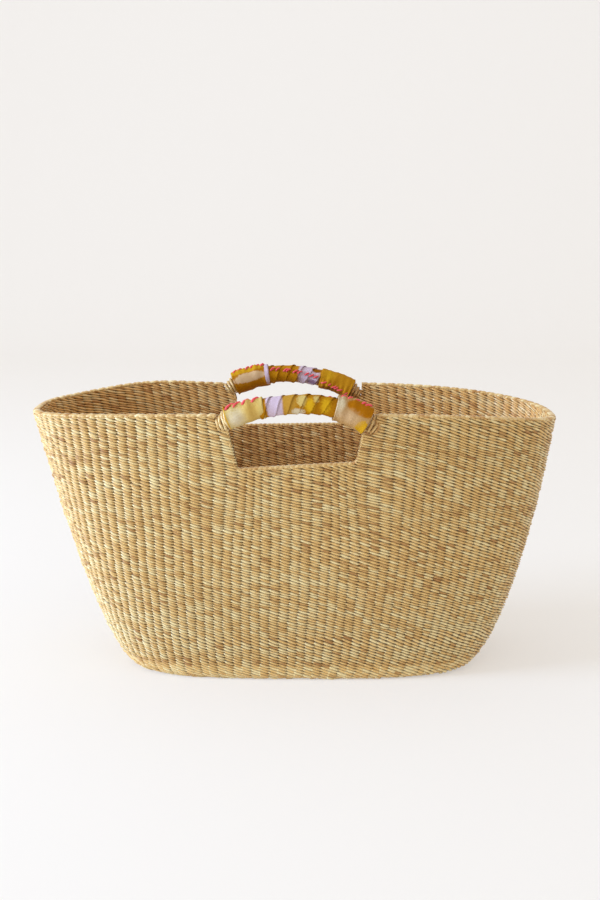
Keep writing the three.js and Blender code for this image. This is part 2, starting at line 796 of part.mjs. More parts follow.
/** Grass strand wound round the root of a handle, from under its cuff until it runs into the wall. */
function rootLashing(hand, end, cuff) {
  const radius = coreRadius + pieceGap + lashingDiameter / 2;
  const lean = handleFrame(end * rootReach, hand).up;
  const halfPitch = (lashingPitch / 2) * lean.z;
  const faceClearance = pieceGap + lashingDiameter / 2;
  const finish = rootReach - faceClearance - radius * Math.abs(lean.x) + halfPitch;
  const start = finish - lashingTurns * lashingPitch * lean.z;
  const bend = lashingBend * lean.z;
  const bendTurn = lashingBend / radius / (2 * Math.PI);
  const startTurn = lashingEndShare + lashingTurns;
  const spots = [
    { place: Math.min(cuff.end + pieceGap, start - bend), turn: startTurn + bendTurn },
    { place: start - bend * cornerShare, turn: startTurn + bendTurn * (1 - cornerShare) },
  ];
  const steps = Math.round(lashingTurns * lashingSteps);
  for (let i = 0; i <= steps; i += 1) {
    spots.push({
      place: start + ((finish - start) * i) / steps,
      turn: startTurn - (lashingTurns * i) / steps,
    });
  }
  const points = spots.map(({ place, turn }) => roundHandle(end * place, hand, turn, radius));
  const corner = roundHandle(end * (finish + bend), hand, lashingEndShare - bendTurn, radius);
  const last = points[points.length - 1];
  points.push(last.clone().lerp(corner, 1 - cornerShare).setX(last.x + (corner.x - last.x) * cornerShare));
  const facePlace = rootReach - pieceGap;
  const { along } = handleFrame(end * rootReach, hand);
  const straightRun = (facePlace - lashingDiameter - Math.abs(corner.x - hand.shift)) / Math.abs(along.x);
  const turned = corner.clone().addScaledVector(along, end * straightRun);
  if (straightRun > pieceGap) points.push(corner);
  else turned.copy(corner);
  points.push(turned, turned.clone().setX(hand.shift + end * facePlace));
  return { points, geometry: tubeThrough(points, lashingDiameter, lashingSides) };
}

/** Whip stitches along a seam of the cloth, as one unbroken thread that crosses the seam and back. */
function seamThread(hand, from, to, seamShare, radiusAt) {
  const stitches = Math.max(Math.round(Math.abs(to - from) / stitchPitch), 1);
  const points = [];
  for (let i = 0; i <= 2 * stitches; i += 1) {
    const place = from + ((to - from) * i) / (2 * stitches);
    const radius = radiusAt(place) + pieceGap + threadDiameter / 2;
    const swing = ((i % 2 ? 1 : -1) * stitchWidth) / 2 / radius / (2 * Math.PI);
    points.push(roundHandle(place, hand, seamShare + swing, radius));
  }
  return tubeThrough(points, threadDiameter, threadSides);
}

const basket = new THREE.Group();

/** Adds one named piece to the basket. */
function addPiece(name, geometry, material) {
  const mesh = new THREE.Mesh(geometry, material);
  mesh.name = name;
  basket.add(mesh);
}

addPiece('base_mat', baseMat(), strawMaterial);
addPiece('heel_band', heelBand(), strawMaterial);
addPiece('wall_weave', wallWeave(), strawMaterial);
['right', 'back', 'left', 'front'].forEach((name, i) => {
  addPiece(`stakes_${name}`, stakeCage(i - 1 / 2), stakeMaterial);
});
for (const { name, end } of ends) addPiece(`rim_border_${name}`, rimBorder(end), strawMaterial);

const wrapCrown = () => wrapRadius + wrapFoldDepth;

for (const hand of hands) {
  const { name, cuffs, seamShares } = hand;
  addPiece(`slot_sill_${name}`, slotSill(hand), strawMaterial);
  addPiece(`handle_core_${name}`, handleCore(hand), strawMaterial);
  const wrapPlaces = evenPlaces(pieceGap - cuffs.left.start, cuffs.right.start - pieceGap, wrapRings);
  const wrap = handleSleeve(hand, wrapPlaces, (place, turn) => wrapRadiusAt(place, hand, turn));
  addPiece(`handle_wrap_${name}`, wrap, clothMaterial);
  for (const { name: endName, end } of ends) {
    const label = `${name}_${endName}`;
    const cuff = cuffs[endName];
    const lashing = rootLashing(hand, end, cuff);
    const selfGap = leastGap(lashing.points, lashingDiameter, Math.round(lashingSteps * skippedTurnShare));
    console.log(`root_lashing_${label}: least gap to itself ${selfGap.toFixed(2)} mm`);
    addPiece(`root_lashing_${label}`, lashing.geometry, strawMaterial);
    const radiusAt = (place) => cuffRadiusAt(place, cuff);
    const cuffPlaces = evenPlaces(end * cuff.start, end * cuff.end, cuffRings);
    addPiece(`handle_cuff_${label}`, handleSleeve(hand, cuffPlaces, radiusAt), clothMaterial);
    const seamFrom = end * (cuff.start + stitchPitch / 2);
    const seamTo = end * (cuff.end - stitchPitch / 2);
    const seam = seamThread(hand, seamFrom, seamTo, seamShares[endName], radiusAt);
    addPiece(`seam_thread_${label}`, seam, threadMaterial);
  }
  const seamStart = stitchPitch / 2 - cuffs.left.start;
  const seamStop = cuffs.right.start - stitchPitch / 2;
  const middleSeam = seamThread(hand, seamStart, seamStop, seamShares.middle, wrapCrown);
  addPiece(`seam_thread_${name}_middle`, middleSeam, threadMaterial);
}

export default basket;
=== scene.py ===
"""Bolga basket: an oval shopper woven from twisted grass, with two cloth-bound handles.

Metres, +Z up, origin at the middle of the underside, long side along X, front towards -Y.
"""
import logging
import math
from collections.abc import Callable, Sequence
from dataclasses import dataclass, replace
from enum import Enum
from functools import cached_property

import bpy
import numpy as np
from bpy.types import Material, Node, NodeSocket, Object, ShaderNodeTree
from mathutils import Color, Matrix, Vector


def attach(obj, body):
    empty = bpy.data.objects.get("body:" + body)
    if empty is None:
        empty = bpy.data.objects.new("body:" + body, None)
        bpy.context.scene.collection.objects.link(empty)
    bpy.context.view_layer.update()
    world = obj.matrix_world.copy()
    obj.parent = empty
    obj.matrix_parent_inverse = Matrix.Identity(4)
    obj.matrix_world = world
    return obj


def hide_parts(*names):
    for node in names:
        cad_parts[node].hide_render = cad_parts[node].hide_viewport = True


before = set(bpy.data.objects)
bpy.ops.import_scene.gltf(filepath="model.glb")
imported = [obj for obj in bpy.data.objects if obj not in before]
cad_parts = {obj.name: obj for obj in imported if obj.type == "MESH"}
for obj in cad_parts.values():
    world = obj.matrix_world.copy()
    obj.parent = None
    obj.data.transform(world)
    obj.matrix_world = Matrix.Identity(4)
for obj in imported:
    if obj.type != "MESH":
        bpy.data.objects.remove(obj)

Array = np.ndarray
Arrays = dict[str, Array]
Pair = tuple[float, float]
Triple = tuple[float, float, float]
Colour = tuple[int, int, int]

LOG = logging.getLogger("bolga_basket")
BAKE_MAP = "OFBake"
CLOTH_MAP = "cloth"
MM = 0.001
FULL_TURN = 2.0 * math.pi
ROUNDING_ERROR = 1e-9
BLACK, WHITE = (0.0, 0.0, 0.0, 1.0), (1.0, 1.0, 1.0, 1.0)
ORIGIN = (0.0, 0.0, 0.0)
LIT_STRAND_TONE = 0.6
SHADED_STRAND_TONE = 0.32
SURFACE_OUTPUTS = {"Colour": BLACK, "Roughness": 0.0, "Height": 0.0}
MAP_FILL = 0.96
STITCH_MAP_FILL = 0.9
BEND_STEPS = 24


class Side(Enum):
    """The long side of the basket that a piece is on, as the sign of Y."""

    FRONT = -1
    BACK = 1


class End(Enum):
    """The end of the basket that a piece is at, as the sign of X."""

    LEFT = -1
    RIGHT = 1


class Face(Enum):
    """The face of the wall that a woven skin covers."""

    OUTSIDE = 1
    INSIDE = -1


class Quarter(Enum):
    """A quarter of the way round, as the number of quarters from its middle to the right end."""

    RIGHT = 0
    BACK = 1
    LEFT = 2
    FRONT = 3


def signed_power(base: Array, power: Array | float) -> Array:
    """A power that keeps the sign of its base."""
    return np.sign(base) * np.abs(base) ** power


def smooth_step(low: float, high: float, value: Array) -> Array:
    """A share from 0 to 1 that eases in at low and out at high."""
    part = np.clip((value - low) / (high - low), 0.0, 1.0)
    return part * part * (3.0 - 2.0 * part)


def unit(vectors: Array) -> Array:
    """The vectors at length 1."""
    return vectors / np.maximum(np.linalg.norm(vectors, axis=-1, keepdims=True), 1e-12)


def linear(colour: Colour) -> tuple[float, float, float, float]:
    """A colour in 0 to 255, as the screen shows it, as a shader colour in linear light."""
    return (*Color([value / 255 for value in colour]).from_srgb_to_scene_linear(), 1.0)


def drifting(rng: np.random.Generator, count: int, length: int, hold: float) -> Array:
    """Rows of random values that change slowly along their length.

    Args:
        rng: The random source.
        count: How many rows.
        length: How many values in a row.
        hold: The share of each value that the next one keeps.

    Returns:
        An array (count, length) with a spread of about 1.
    """
    fresh = rng.normal(size=(count, length))
    held = np.empty_like(fresh)
    held[:, 0] = fresh[:, 0]
    for i in range(1, length):
        held[:, i] = hold * held[:, i - 1] + math.sqrt(1 - hold * hold) * fresh[:, i]
    return held


@dataclass(frozen=True)
class Ripple:
    """A smooth random field over two directions, made of a few slanted waves."""

    seed: int
    wavelength: float
    waves: int = 7
    shortest_share: float = 0.6
    longest_share: float = 1.8

    def at(self, along: Array, up: Array) -> Array:
        """The field's value at places in metres.

        Args:
            along: Places along the surface.
            up: Places up the surface.

        Returns:
            Values of about -1 to 1.
        """
        rng = np.random.default_rng(self.seed)
        total = np.zeros(np.broadcast(along, up).shape)
        for _ in range(self.waves):
            angle = rng.uniform(0, FULL_TURN)
            length = self.wavelength * rng.uniform(self.shortest_share, self.longest_share)
            phase = rng.uniform(0, FULL_TURN)
            run = along * math.cos(angle) + up * math.sin(angle)
            total = total + np.sin(run * FULL_TURN / length + phase)
        return total / math.sqrt(self.waves)


@dataclass(frozen=True)
class BasketBody:
    """The flared oval that every woven piece follows."""

    rim_length: float = 517 * MM
    rim_depth: float = 206 * MM
    rim_height: float = 262 * MM
    left_end_drop: float = 8 * MM
    right_end_drop: float = 15 * MM
    rim_lean: float = -7 * MM
    back_swell: float = 4.5 * MM
    back_swell_place: float = -161 * MM
    back_swell_reach: float = 90 * MM
    base_length: float = 327 * MM
    base_depth: float = 179 * MM
    heel_radius: float = 7 * MM
    wall_foot: float = 22.35 * MM
    wall_thickness: float = 6.4 * MM
    stake_count: int = 128
    stake_twist: float = 15 * MM
    end_crowding_share: float = 0.15
    length_flare_power: float = 0.57
    depth_flare_power: float = 1.6
    base_plan_power: float = 3.6
    rim_plan_power: float = 2.8
    rim_sag_power: float = 3.0
    rim_lean_power: float = 2.0
    table_shares: int = 1440
    heel_levels: int = 24
    wall_levels: int = 200
    table_reach_share: float = 1.12
    search_steps: int = 2000
    search_margin_share: float = 0.02
    rim_steps: int = 721
    ripple_stretch: float = 1.7
    slope_step: float = 0.6 * MM

    def plan_at(self, z: Array | float) -> tuple[Array, Array, Array, Array]:
        """The plan of the outer face at a height.

        Args:
            z: The height.

        Returns:
            The middle, the half length, the half depth and the squareness.
        """
        level = np.maximum(z, 0.0) / self.rim_height
        corner = np.maximum(self.heel_radius - z, 0.0)
        inset = self.heel_radius - np.sqrt(np.maximum(self.heel_radius**2 - corner**2, 0.0))
        middle = self.rim_lean * level**self.rim_lean_power
        longer = (self.rim_length - self.base_length) * level**self.length_flare_power
        deeper = (self.rim_depth - self.base_depth) * level**self.depth_flare_power
        length, depth = self.base_length + longer, self.base_depth + deeper
        power = self.base_plan_power + (self.rim_plan_power - self.base_plan_power) * level
        return middle, length / 2 - inset, depth / 2 - inset, power

    @cached_property
    def heel_drop(self) -> float:
        """Length of the wall's profile from the foot of the wall down to the floor."""
        return self.wall_foot - self.heel_radius + self.heel_radius * math.pi / 2

    def climb(self, run: Array) -> Array:
        """Height at a distance along the wall's profile.

        Args:
            run: The distance from the foot of the wall, less than 0 in the heel.

        Returns:
            The height.
        """
        upright = self.wall_foot - self.heel_radius
        turned = np.clip((-run - upright) / self.heel_radius, 0.0, math.pi / 2)
        straight = self.wall_foot + np.maximum(run, -upright)
        return straight - self.heel_radius * np.sin(turned)

    @cached_property
    def tables(self) -> tuple[Array, Array, Array, Array]:
        """The outer face as tables.

        Returns:
            Heights, and at each height the perimeter and the X and Y of evenly spaced shares.
        """
        heel = self.heel_radius * (1 - np.cos(np.linspace(0, math.pi / 2, self.heel_levels)))
        highest = self.rim_height * self.table_reach_share
        upper = np.linspace(self.heel_radius, highest, self.wall_levels)[1:]
        heights = np.concatenate([heel, upper])
        shares = np.linspace(0, 1, self.table_shares + 1)
        angle = np.linspace(0, FULL_TURN, 2 * self.table_shares + 1)
        perimeters, xs, ys = [], [], []
        for z in heights:
            middle, half_length, half_depth, power = self.plan_at(z)
            x = middle + half_length * signed_power(np.cos(angle), 2 / power)
            y = half_depth * signed_power(np.sin(angle), 2 / power)
            run = np.concatenate([[0.0], np.cumsum(np.hypot(np.diff(x), np.diff(y)))])
            level = z / self.rim_height
            crowding = self.end_crowding_share * (1 - level)
            drift = self.stake_twist * (1 - level) / run[-1]
            planned = shares - crowding * np.sin(2 * FULL_TURN * shares) / (2 * FULL_TURN) - drift
            along = (planned % 1.0) * run[-1]
            xs.append(np.interp(along, run, x))
            ys.append(np.interp(along, run, y))
            perimeters.append(run[-1])
        return heights, np.array(perimeters), np.array(xs), np.array(ys)

    def perimeter(self, z: Array | float) -> Array:
        """The way round the outer face at a height."""
        heights, perimeters, _, _ = self.tables
        return np.interp(z, heights, perimeters)

    def outer(self, share: Array | float, z: Array | float) -> Array:
        """A point of the outer face.

        Args:
            share: The share of the way round, from the middle of the right end.
            z: The height.

        Returns:
            Points (..., 3).
        """
        heights, _, xs, ys = self.tables
        share, z = np.broadcast_arrays(share, z)
        column = (share % 1.0) * self.table_shares
        first = np.minimum(column.astype(int), self.table_shares - 1)
        part = column - first
        row = np.interp(z, heights, np.arange(len(heights)))
        low = np.minimum(row.astype(int), len(heights) - 2)
        rise = row - low
        flat = []
        for table in (xs, ys):
            under = table[low, first] * (1 - part) + table[low, first + 1] * part
            over = table[low + 1, first] * (1 - part) + table[low + 1, first + 1] * part
            flat.append(under * (1 - rise) + over * rise)
        return np.stack([flat[0], flat[1], z], axis=-1)

    def normal(self, share: Array, run: Array) -> Array:
        """The outward direction of the outer face.

        Args:
            share: The share of the way round.
            run: The distance along the wall's profile.

        Returns:
            Directions (..., 3) of length 1.
        """
        step = self.slope_step
        lowest = -self.heel_drop
        z = self.climb(run)
        turn = step / self.perimeter(z)
        around = self.outer(share + turn, z) - self.outer(share - turn, z)
        upper = self.climb(np.maximum(run, lowest + step) + step)
        lower = self.climb(np.maximum(run, lowest + step) - step)
        return unit(np.cross(around, self.outer(share, upper) - self.outer(share, lower)))

    def way_round(self, share: Array) -> Array:
        """A distance for random ripples, which meets itself again after a whole turn."""
        spot = self.outer(share, self.rim_height)
        return spot[..., 0] + self.ripple_stretch * spot[..., 1]

    def rim_at(self, share: Array) -> Array:
        """Height of the rim, which dips towards the two ends and swells on the left of the back.

        Args:
            share: The share of the way round.

        Returns:
            The height.
        """
        middle, half_length, _, _ = self.plan_at(self.rim_height)
        point = self.outer(share, self.rim_height)
        lengthwise = (point[..., 0] - middle) / half_length
        end_drop = np.where(lengthwise < 0, self.left_end_drop, self.right_end_drop)
        away = np.minimum(np.abs(point[..., 0] - self.back_swell_place) / self.back_swell_reach, 1.0)
        swell = np.where(point[..., 1] > 0, self.back_swell * np.cos(math.pi / 2 * away) ** 2, 0.0)
        return self.rim_height - end_drop * np.abs(lengthwise) ** self.rim_sag_power + swell

    def rim_share(self, x: Array, y: Array) -> Array:
        """The share of the way round the rim that stands nearest above a place.

        Args:
            x: The place's X.
            y: The place's Y.

        Returns:
            The share.
        """
        middle, _, _, _ = self.plan_at(self.rim_height)
        shares = np.linspace(0, 1, self.rim_steps)
        outline = self.outer(shares, self.rim_height)
        stretch = self.rim_length / self.rim_depth
        angles = np.unwrap(np.arctan2(outline[:, 1] * stretch, outline[:, 0] - middle))
        asked = np.arctan2(y * stretch, x - middle)
        asked = np.where(asked < angles[0] - ROUNDING_ERROR, asked + FULL_TURN, asked)
        return np.interp(asked, angles, shares)

    def face_depth(self, x: Array, z: Array) -> Array:
        """How far in front of the middle, or behind it, the outer face stands.

        Args:
            x: The place along the basket.
            z: The height.

        Returns:
            The distance.
        """
        middle, half_length, half_depth, power = self.plan_at(z)
        away = np.minimum(np.abs(x - middle) / half_length, 1.0)
        return half_depth * (1 - away**power) ** (1 / power)

    def share_at(self, x: float, side: Side, z: float) -> float:
        """The share of the way round at which a long side passes a place.

        Args:
            x: The place along the basket.
            side: The long side.
            z: The height.

        Returns:
            The share.
        """
        start = 0.0 if side is Side.BACK else 0.5
        margin = self.search_margin_share
        shares = start + np.linspace(margin, 0.5 - margin, self.search_steps)
        found = self.outer(shares, z)[:, 0]
        order = np.argsort(found)
        return float(np.interp(x, found[order], shares[order]))


@dataclass(frozen=True)
class Cuff:
    """One cuff: its two ends, counted from the middle of the slot, and its radius at each."""

    start: float
    end: float
    neck: float
    mouth: float

    def radius_at(self, place: Array) -> Array:
        """Radius of the cuff at a place along the handle."""
        part = (np.abs(place) - self.start) / (self.end - self.start)
        return self.neck + (self.mouth - self.neck) * part


@dataclass(frozen=True)
class Hand:
    """One long side's hand slot and the line of its handle, by places from the slot's middle."""

    body: BasketBody
    side: Side
    shift: float
    slot_depth: float
    sill_rise: float
    apex_offset: float
    left_drop: float
    right_drop: float
    cuffs: dict[End, Cuff]
    handle_rise: float = 9.3 * MM
    left_reach: float = 72 * MM
    right_reach: float = 59 * MM
    root_reach: float = 82 * MM
    core_radius: float = 6.8 * MM
    slot_top_width: float = 122.8 * MM
    slot_sill_width: float = 109 * MM
    jamb_height: float = 34 * MM
    jamb_reach_share: float = 1.3
    slope_step: float = 0.5 * MM

    @property
    def label(self) -> str:
        """The side as a word."""
        return self.side.name.lower()

    def sill_height(self, place: Array | float) -> Array | float:
        """Height of the slot's finished sill, which rises towards +X."""
        return self.body.rim_height - self.slot_depth + self.sill_rise * place / self.slot_sill_width

    def jamb_place(self, end: End, z: Array | float) -> Array:
        """Where the slot's upright edge stands at a height.

        Args:
            end: The end of the slot.
            z: The height.

        Returns:
            The place, counted from the slot's middle.
        """
        part = np.clip((z - self.sill_height(0.0)) / self.jamb_height, 0.0, self.jamb_reach_share)
        width = self.slot_sill_width + (self.slot_top_width - self.slot_sill_width) * part
        return end.value * width / 2

    def height(self, place: Array) -> Array:
        """Height of the line, which arches over the slot and runs on straight past its roots.

        Args:
            place: Places along the handle.

        Returns:
            The heights.
        """
        place = np.asarray(place, float)
        reach = np.where(place < self.apex_offset, self.left_reach, self.right_reach)
        drop = np.where(place < self.apex_offset, self.left_drop, self.right_drop)
        bounded = np.clip(place, -self.root_reach, self.root_reach)
        away = np.abs(bounded - self.apex_offset) / reach
        slope = 2 * drop * away / reach
        beyond = np.abs(place) - np.abs(bounded)
        return self.body.rim_height + self.handle_rise - drop * away**2 - slope * beyond

    def point(self, place: Array) -> Array:
        """A point of the line.

        Args:
            place: Places along the handle.

        Returns:
            Points (..., 3).
        """
        place = np.asarray(place, float)
        z = self.height(place)
        x = self.shift + place
        depth = self.body.face_depth(x, z) - self.body.wall_thickness / 2
        return np.stack([x, self.side.value * depth, z], axis=-1)

    def axes(self, place: Array) -> tuple[Array, Array, Array]:
        """The handle's own directions.

        Args:
            place: Places along the handle.

        Returns:
            The directions along the handle, up from it and out of the basket.
        """
        along = unit(self.point(place + self.slope_step) - self.point(place - self.slope_step))
        sign = self.side.value
        outward = np.broadcast_to(np.array([0.0, sign, 0.0]), along.shape)
        up = unit(np.cross(outward, along) * -sign)
        return along, up, unit(np.cross(along, up) * -sign)

    def around(self, place: Array, turn: Array, radius: Array | float) -> Array:
        """A point round the handle.

        Args:
            place: Places along the handle.
            turn: Turns round it: 0 faces out of the basket and a quarter faces up.
            radius: The distance from its line.

        Returns:
            Points (..., 3).
        """
        place, turn, radius = np.broadcast_arrays(np.asarray(place, float), turn, radius)
        _, up, outward = self.axes(place)
        angle = turn[..., None] * FULL_TURN
        return self.point(place) + radius[..., None] * (outward * np.cos(angle) + up * np.sin(angle))


def both_hands(body: BasketBody) -> dict[Side, Hand]:
    """The hand slots and handle lines of the two long sides, each as it hangs in the real basket.

    Args:
        body: The basket's body.

    Returns:
        The slot and handle line of each side.
    """
    front_cuffs = {
        End.LEFT: Cuff(start=29.5 * MM, end=62.5 * MM, neck=9.1 * MM, mouth=10.4 * MM),
        End.RIGHT: Cuff(start=37 * MM, end=65.5 * MM, neck=11.4 * MM, mouth=12.9 * MM),
    }
    back_cuffs = {
        End.LEFT: Cuff(start=26 * MM, end=62 * MM, neck=10.8 * MM, mouth=12.1 * MM),
        End.RIGHT: Cuff(start=30.5 * MM, end=62.5 * MM, neck=10.6 * MM, mouth=11.2 * MM),
    }
    front = Hand(
        body, Side.FRONT, shift=-3.5 * MM, slot_depth=48.3 * MM, sill_rise=6.2 * MM,
        apex_offset=8.5 * MM, left_drop=14 * MM, right_drop=16.8 * MM, cuffs=front_cuffs,
    )
    back = Hand(
        body, Side.BACK, shift=-10.5 * MM, slot_depth=43.7 * MM, sill_rise=1.5 * MM,
        apex_offset=-7.5 * MM, left_drop=19 * MM, right_drop=11.9 * MM, cuffs=back_cuffs,
    )
    return {Side.FRONT: front, Side.BACK: back}


def mesh_piece(name: str, part: Arrays, material: Material) -> Object:
    """A smooth mesh object from arrays.

    Args:
        name: The piece's name.
        part: points (n, 3), faces (m, 4) where a triangle repeats its last corner, the layout map
        (n, 2), and what the material reads of tone (n), painted shade in grooves and pits (n) and the
        layout cloth (n, 2).
        material: The material it wears.

    Returns:
        The object, in the scene and riding on the basket.
    """
    used, renumbered = np.unique(part["faces"], return_inverse=True)
    faces = renumbered.reshape(part["faces"].shape)
    is_triangle = faces[:, 2] == faces[:, 3]
    kept = np.ones(faces.shape, bool)
    kept[is_triangle, 3] = False
    corners = faces[kept]
    mesh = bpy.data.meshes.new(name)
    mesh.vertices.add(len(used))
    mesh.vertices.foreach_set("co", part["points"][used].astype(np.float32).ravel())
    mesh.loops.add(len(corners))
    mesh.loops.foreach_set("vertex_index", corners.astype(np.int32))
    mesh.polygons.add(len(faces))
    starts = np.concatenate([[0], np.cumsum(kept.sum(axis=1))[:-1]])
    mesh.polygons.foreach_set("loop_start", starts.astype(np.int32))
    mesh.update(calc_edges=True)
    mesh.validate()
    mesh.shade_smooth()
    for label in [label for label in ("tone", "hollow") if label in part]:
        attribute = mesh.attributes.new(label, "FLOAT", "POINT")
        attribute.data.foreach_set("value", part[label][used].astype(np.float32))
    for label, layout in ((BAKE_MAP, "map"), (CLOTH_MAP, "cloth")):
        if layout in part:
            flat_map = mesh.uv_layers.new(name=label)
            flat_map.data.foreach_set("uv", part[layout][used][corners].astype(np.float32).ravel())
    mesh.materials.append(material)
    piece = bpy.data.objects.new(name, mesh)
    bpy.context.scene.collection.objects.link(piece)
    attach(piece, "root")
    LOG.info("%s: %d faces", name, len(faces))
    return piece


def grid_faces(rows: int, columns: int, is_ring: bool) -> Array:
    """Faces of a grid of points stored row after row.

    Args:
        rows: How many rows of points.
        columns: How many points in a row.
        is_ring: Whether the last column meets the first.

    Returns:
        Corner numbers (m, 4).
    """
    spans = columns if is_ring else columns - 1
    row, column = np.meshgrid(np.arange(rows - 1), np.arange(spans), indexing="ij")
    beside = (column + 1) % columns
    corners = [row * columns + column, row * columns + beside]
    corners += [(row + 1) * columns + beside, (row + 1) * columns + column]
    return np.stack([c.ravel() for c in corners], axis=1)


def grid_map(rows: int, columns: int) -> Array:
    """A flat layout that fills the square with a grid of points."""
    row, column = np.meshgrid(np.linspace(0, 1, rows), np.linspace(0, 1, columns), indexing="ij")
    return np.stack([column.ravel(), row.ravel()], axis=1)


@dataclass
class Tube:
    """A closed tube through points, whose skin may swell and dip."""

    points: Array
    across: Array
    sides: int
    width: float
    height: float
    relief: Callable[[Array, Array], Array]

    def build(self, tone: Callable[[Array, Array], Array]) -> Arrays:
        """The tube's arrays.

        Args:
            tone: Gives the tone from the distance along the tube and the turn round it.

        Returns:
            points, faces, tone and map, ready to be joined to other tubes or made a mesh.
        """
        steps = np.diff(self.points, axis=0)
        run = np.concatenate([[0.0], np.cumsum(np.linalg.norm(steps, axis=1))])
        along = unit(np.gradient(self.points, axis=0))
        across = unit(self.across - along * np.sum(self.across * along, axis=1, keepdims=True))
        upward = np.cross(along, across)
        turn = np.arange(self.sides) / self.sides
        swell = self.relief(run[:, None], turn[None, :])
        angle = turn[None, :] * FULL_TURN
        wide = (self.width / 2 + swell) * np.cos(angle)
        high = (self.height / 2 + swell) * np.sin(angle)
        skin = self.points[:, None] + across[:, None] * wide[..., None]
        skin = skin + upward[:, None] * high[..., None]
        ends = np.stack([self.points[0], self.points[-1]])
        places = np.concatenate([skin.reshape(-1, 3), ends])
        faces = grid_faces(len(run), self.sides, True)
        ring = np.arange(self.sides)
        after = (ring + 1) % self.sides
        last = (len(run) - 1) * self.sides
        first_tip, last_tip = (np.full(self.sides, len(places) - back) for back in (2, 1))
        caps = [
            np.stack([after, ring, first_tip, first_tip], axis=1),
            np.stack([last + ring, last + after, last_tip, last_tip], axis=1),
        ]
        tones = np.broadcast_to(tone(run[:, None], turn[None, :]), skin.shape[:2]).ravel()
        layout = grid_map(len(run), self.sides)
        return {
            "points": places,
            "faces": np.concatenate([faces, *caps]),
            "tone": np.append(tones, tones[[0, -1]]),
            "map": np.concatenate([layout, layout[[0, -1]]]),
        }


def joined(parts: Sequence[Arrays], fill: float = STITCH_MAP_FILL, axis: int = 0) -> Arrays:
    """Several parts' arrays as one, with their layouts in a row.

    Args:
        parts: The parts' arrays.
        fill: The share of its place in the row that each layout fills.
        axis: The axis of the layout that the row runs along.

    Returns:
        The joined arrays.
    """
    labels = [label for label in ("points", "tone", "hollow", "cloth") if label in parts[0]]
    result = {label: np.concatenate([part[label] for part in parts]) for label in labels}
    shift = 0
    faces, layouts = [], []
    for i, part in enumerate(parts):
        layout = part["map"].copy()
        layout[:, axis] = (layout[:, axis] * fill + i) / len(parts)
        layouts.append(layout)
        faces.append(part["faces"] + shift)
        shift += len(part["points"])
    return {**result, "faces": np.concatenate(faces), "map": np.concatenate(layouts)}


class NodeTree:
    """Short ways to add and wire a shader tree's nodes."""

    def __init__(self, tree: bpy.types.NodeTree) -> None:
        """Keeps the tree that is wired."""
        self.tree = tree

    def add(self, kind: str, inputs: dict[str | int, object] | None = None, **settings: object) -> Node:
        """Adds a node, sets its properties, and feeds its inputs.

        Args:
            kind: The node's type name.
            inputs: Values or sockets to feed, by input name or number.
            **settings: Properties of the node.

        Returns:
            The node.
        """
        node = self.tree.nodes.new(kind)
        for label, value in settings.items():
            setattr(node, label, value)
        for label, value in (inputs or {}).items():
            if isinstance(value, NodeSocket):
                self.tree.links.new(value, node.inputs[label])
            else:
                node.inputs[label].default_value = value
        return node

    def link(self, source: NodeSocket, target: NodeSocket) -> None:
        """Wires one socket to another."""
        self.tree.links.new(source, target)

    def vector(self, operation: str, *values: object) -> NodeSocket:
        """The result of a sum on vectors."""
        return self.add("ShaderNodeVectorMath", dict(enumerate(values)), operation=operation).outputs[0]

    def scaled(self, vector: object, scale: object) -> NodeSocket:
        """A vector made longer or shorter."""
        return self.add("ShaderNodeVectorMath", {0: vector, "Scale": scale}, operation="SCALE").outputs[0]

    def noise(self, place: object, scale: float, detail: float) -> NodeSocket:
        """A cloudy value over the surface."""
        inputs = {"Vector": place, "Scale": scale, "Detail": detail}
        return self.add("ShaderNodeTexNoise", inputs).outputs[0]

    def bumped(self, height: object, strength: float, distance: float) -> NodeSocket:
        """The surface's direction with small ridges on it."""
        inputs = {"Strength": strength, "Distance": distance, "Height": height}
        return self.add("ShaderNodeBump", inputs).outputs[0]

    def math(self, operation: str, *values: object) -> NodeSocket:
        """The result of a sum on numbers or sockets."""
        return self.add("ShaderNodeMath", dict(enumerate(values)), operation=operation).outputs[0]

    def mix(self, part: object, first: object, second: object) -> NodeSocket:
        """The mixture of two colours."""
        settings = {"data_type": "RGBA", "blend_type": "MIX"}
        return self.add("ShaderNodeMix", {0: part, 6: first, 7: second}, **settings).outputs[2]

    def effect(self, group: ShaderNodeTree, values: dict[str, object]) -> bpy.types.bpy_prop_collection:
        """The outputs of a shared effect that is fed with a material's own values."""
        return self.add("ShaderNodeGroup", values, node_tree=group).outputs

    def finish(self, shader: Node, effect: bpy.types.bpy_prop_collection, bump: Pair) -> None:
        """Feeds an effect's colour, roughness and ridges to a shader.

        Args:
            shader: The material's shader.
            effect: The outputs of the effect.
            bump: How strong the ridges are and how high.
        """
        self.link(effect["Colour"], shader.inputs["Base Color"])
        self.link(effect["Roughness"], shader.inputs["Roughness"])
        self.link(self.bumped(effect["Height"], *bump), shader.inputs["Normal"])

    def ranged(
        self, value: object, low: float, high: float, to_low: float = 0.0, to_high: float = 1.0
    ) -> NodeSocket:
        """A value moved smoothly from one range to another, and held inside it."""
        inputs = {"Value": value, "From Min": low, "From Max": high, "To Min": to_low, "To Max": to_high}
        return self.add("ShaderNodeMapRange", inputs, interpolation_type="SMOOTHSTEP").outputs["Result"]


class SocketKind(Enum):
    """The kinds of socket that the shared effects use."""

    NUMBER = "NodeSocketFloat"
    VECTOR = "NodeSocketVector"
    COLOUR = "NodeSocketColor"

    @classmethod
    def of(cls, default: float | tuple[float, ...]) -> "SocketKind":
        """The kind with such a default: one number, three for a vector or four for a colour."""
        return {1: cls.NUMBER, 3: cls.VECTOR, 4: cls.COLOUR}[np.size(default)]


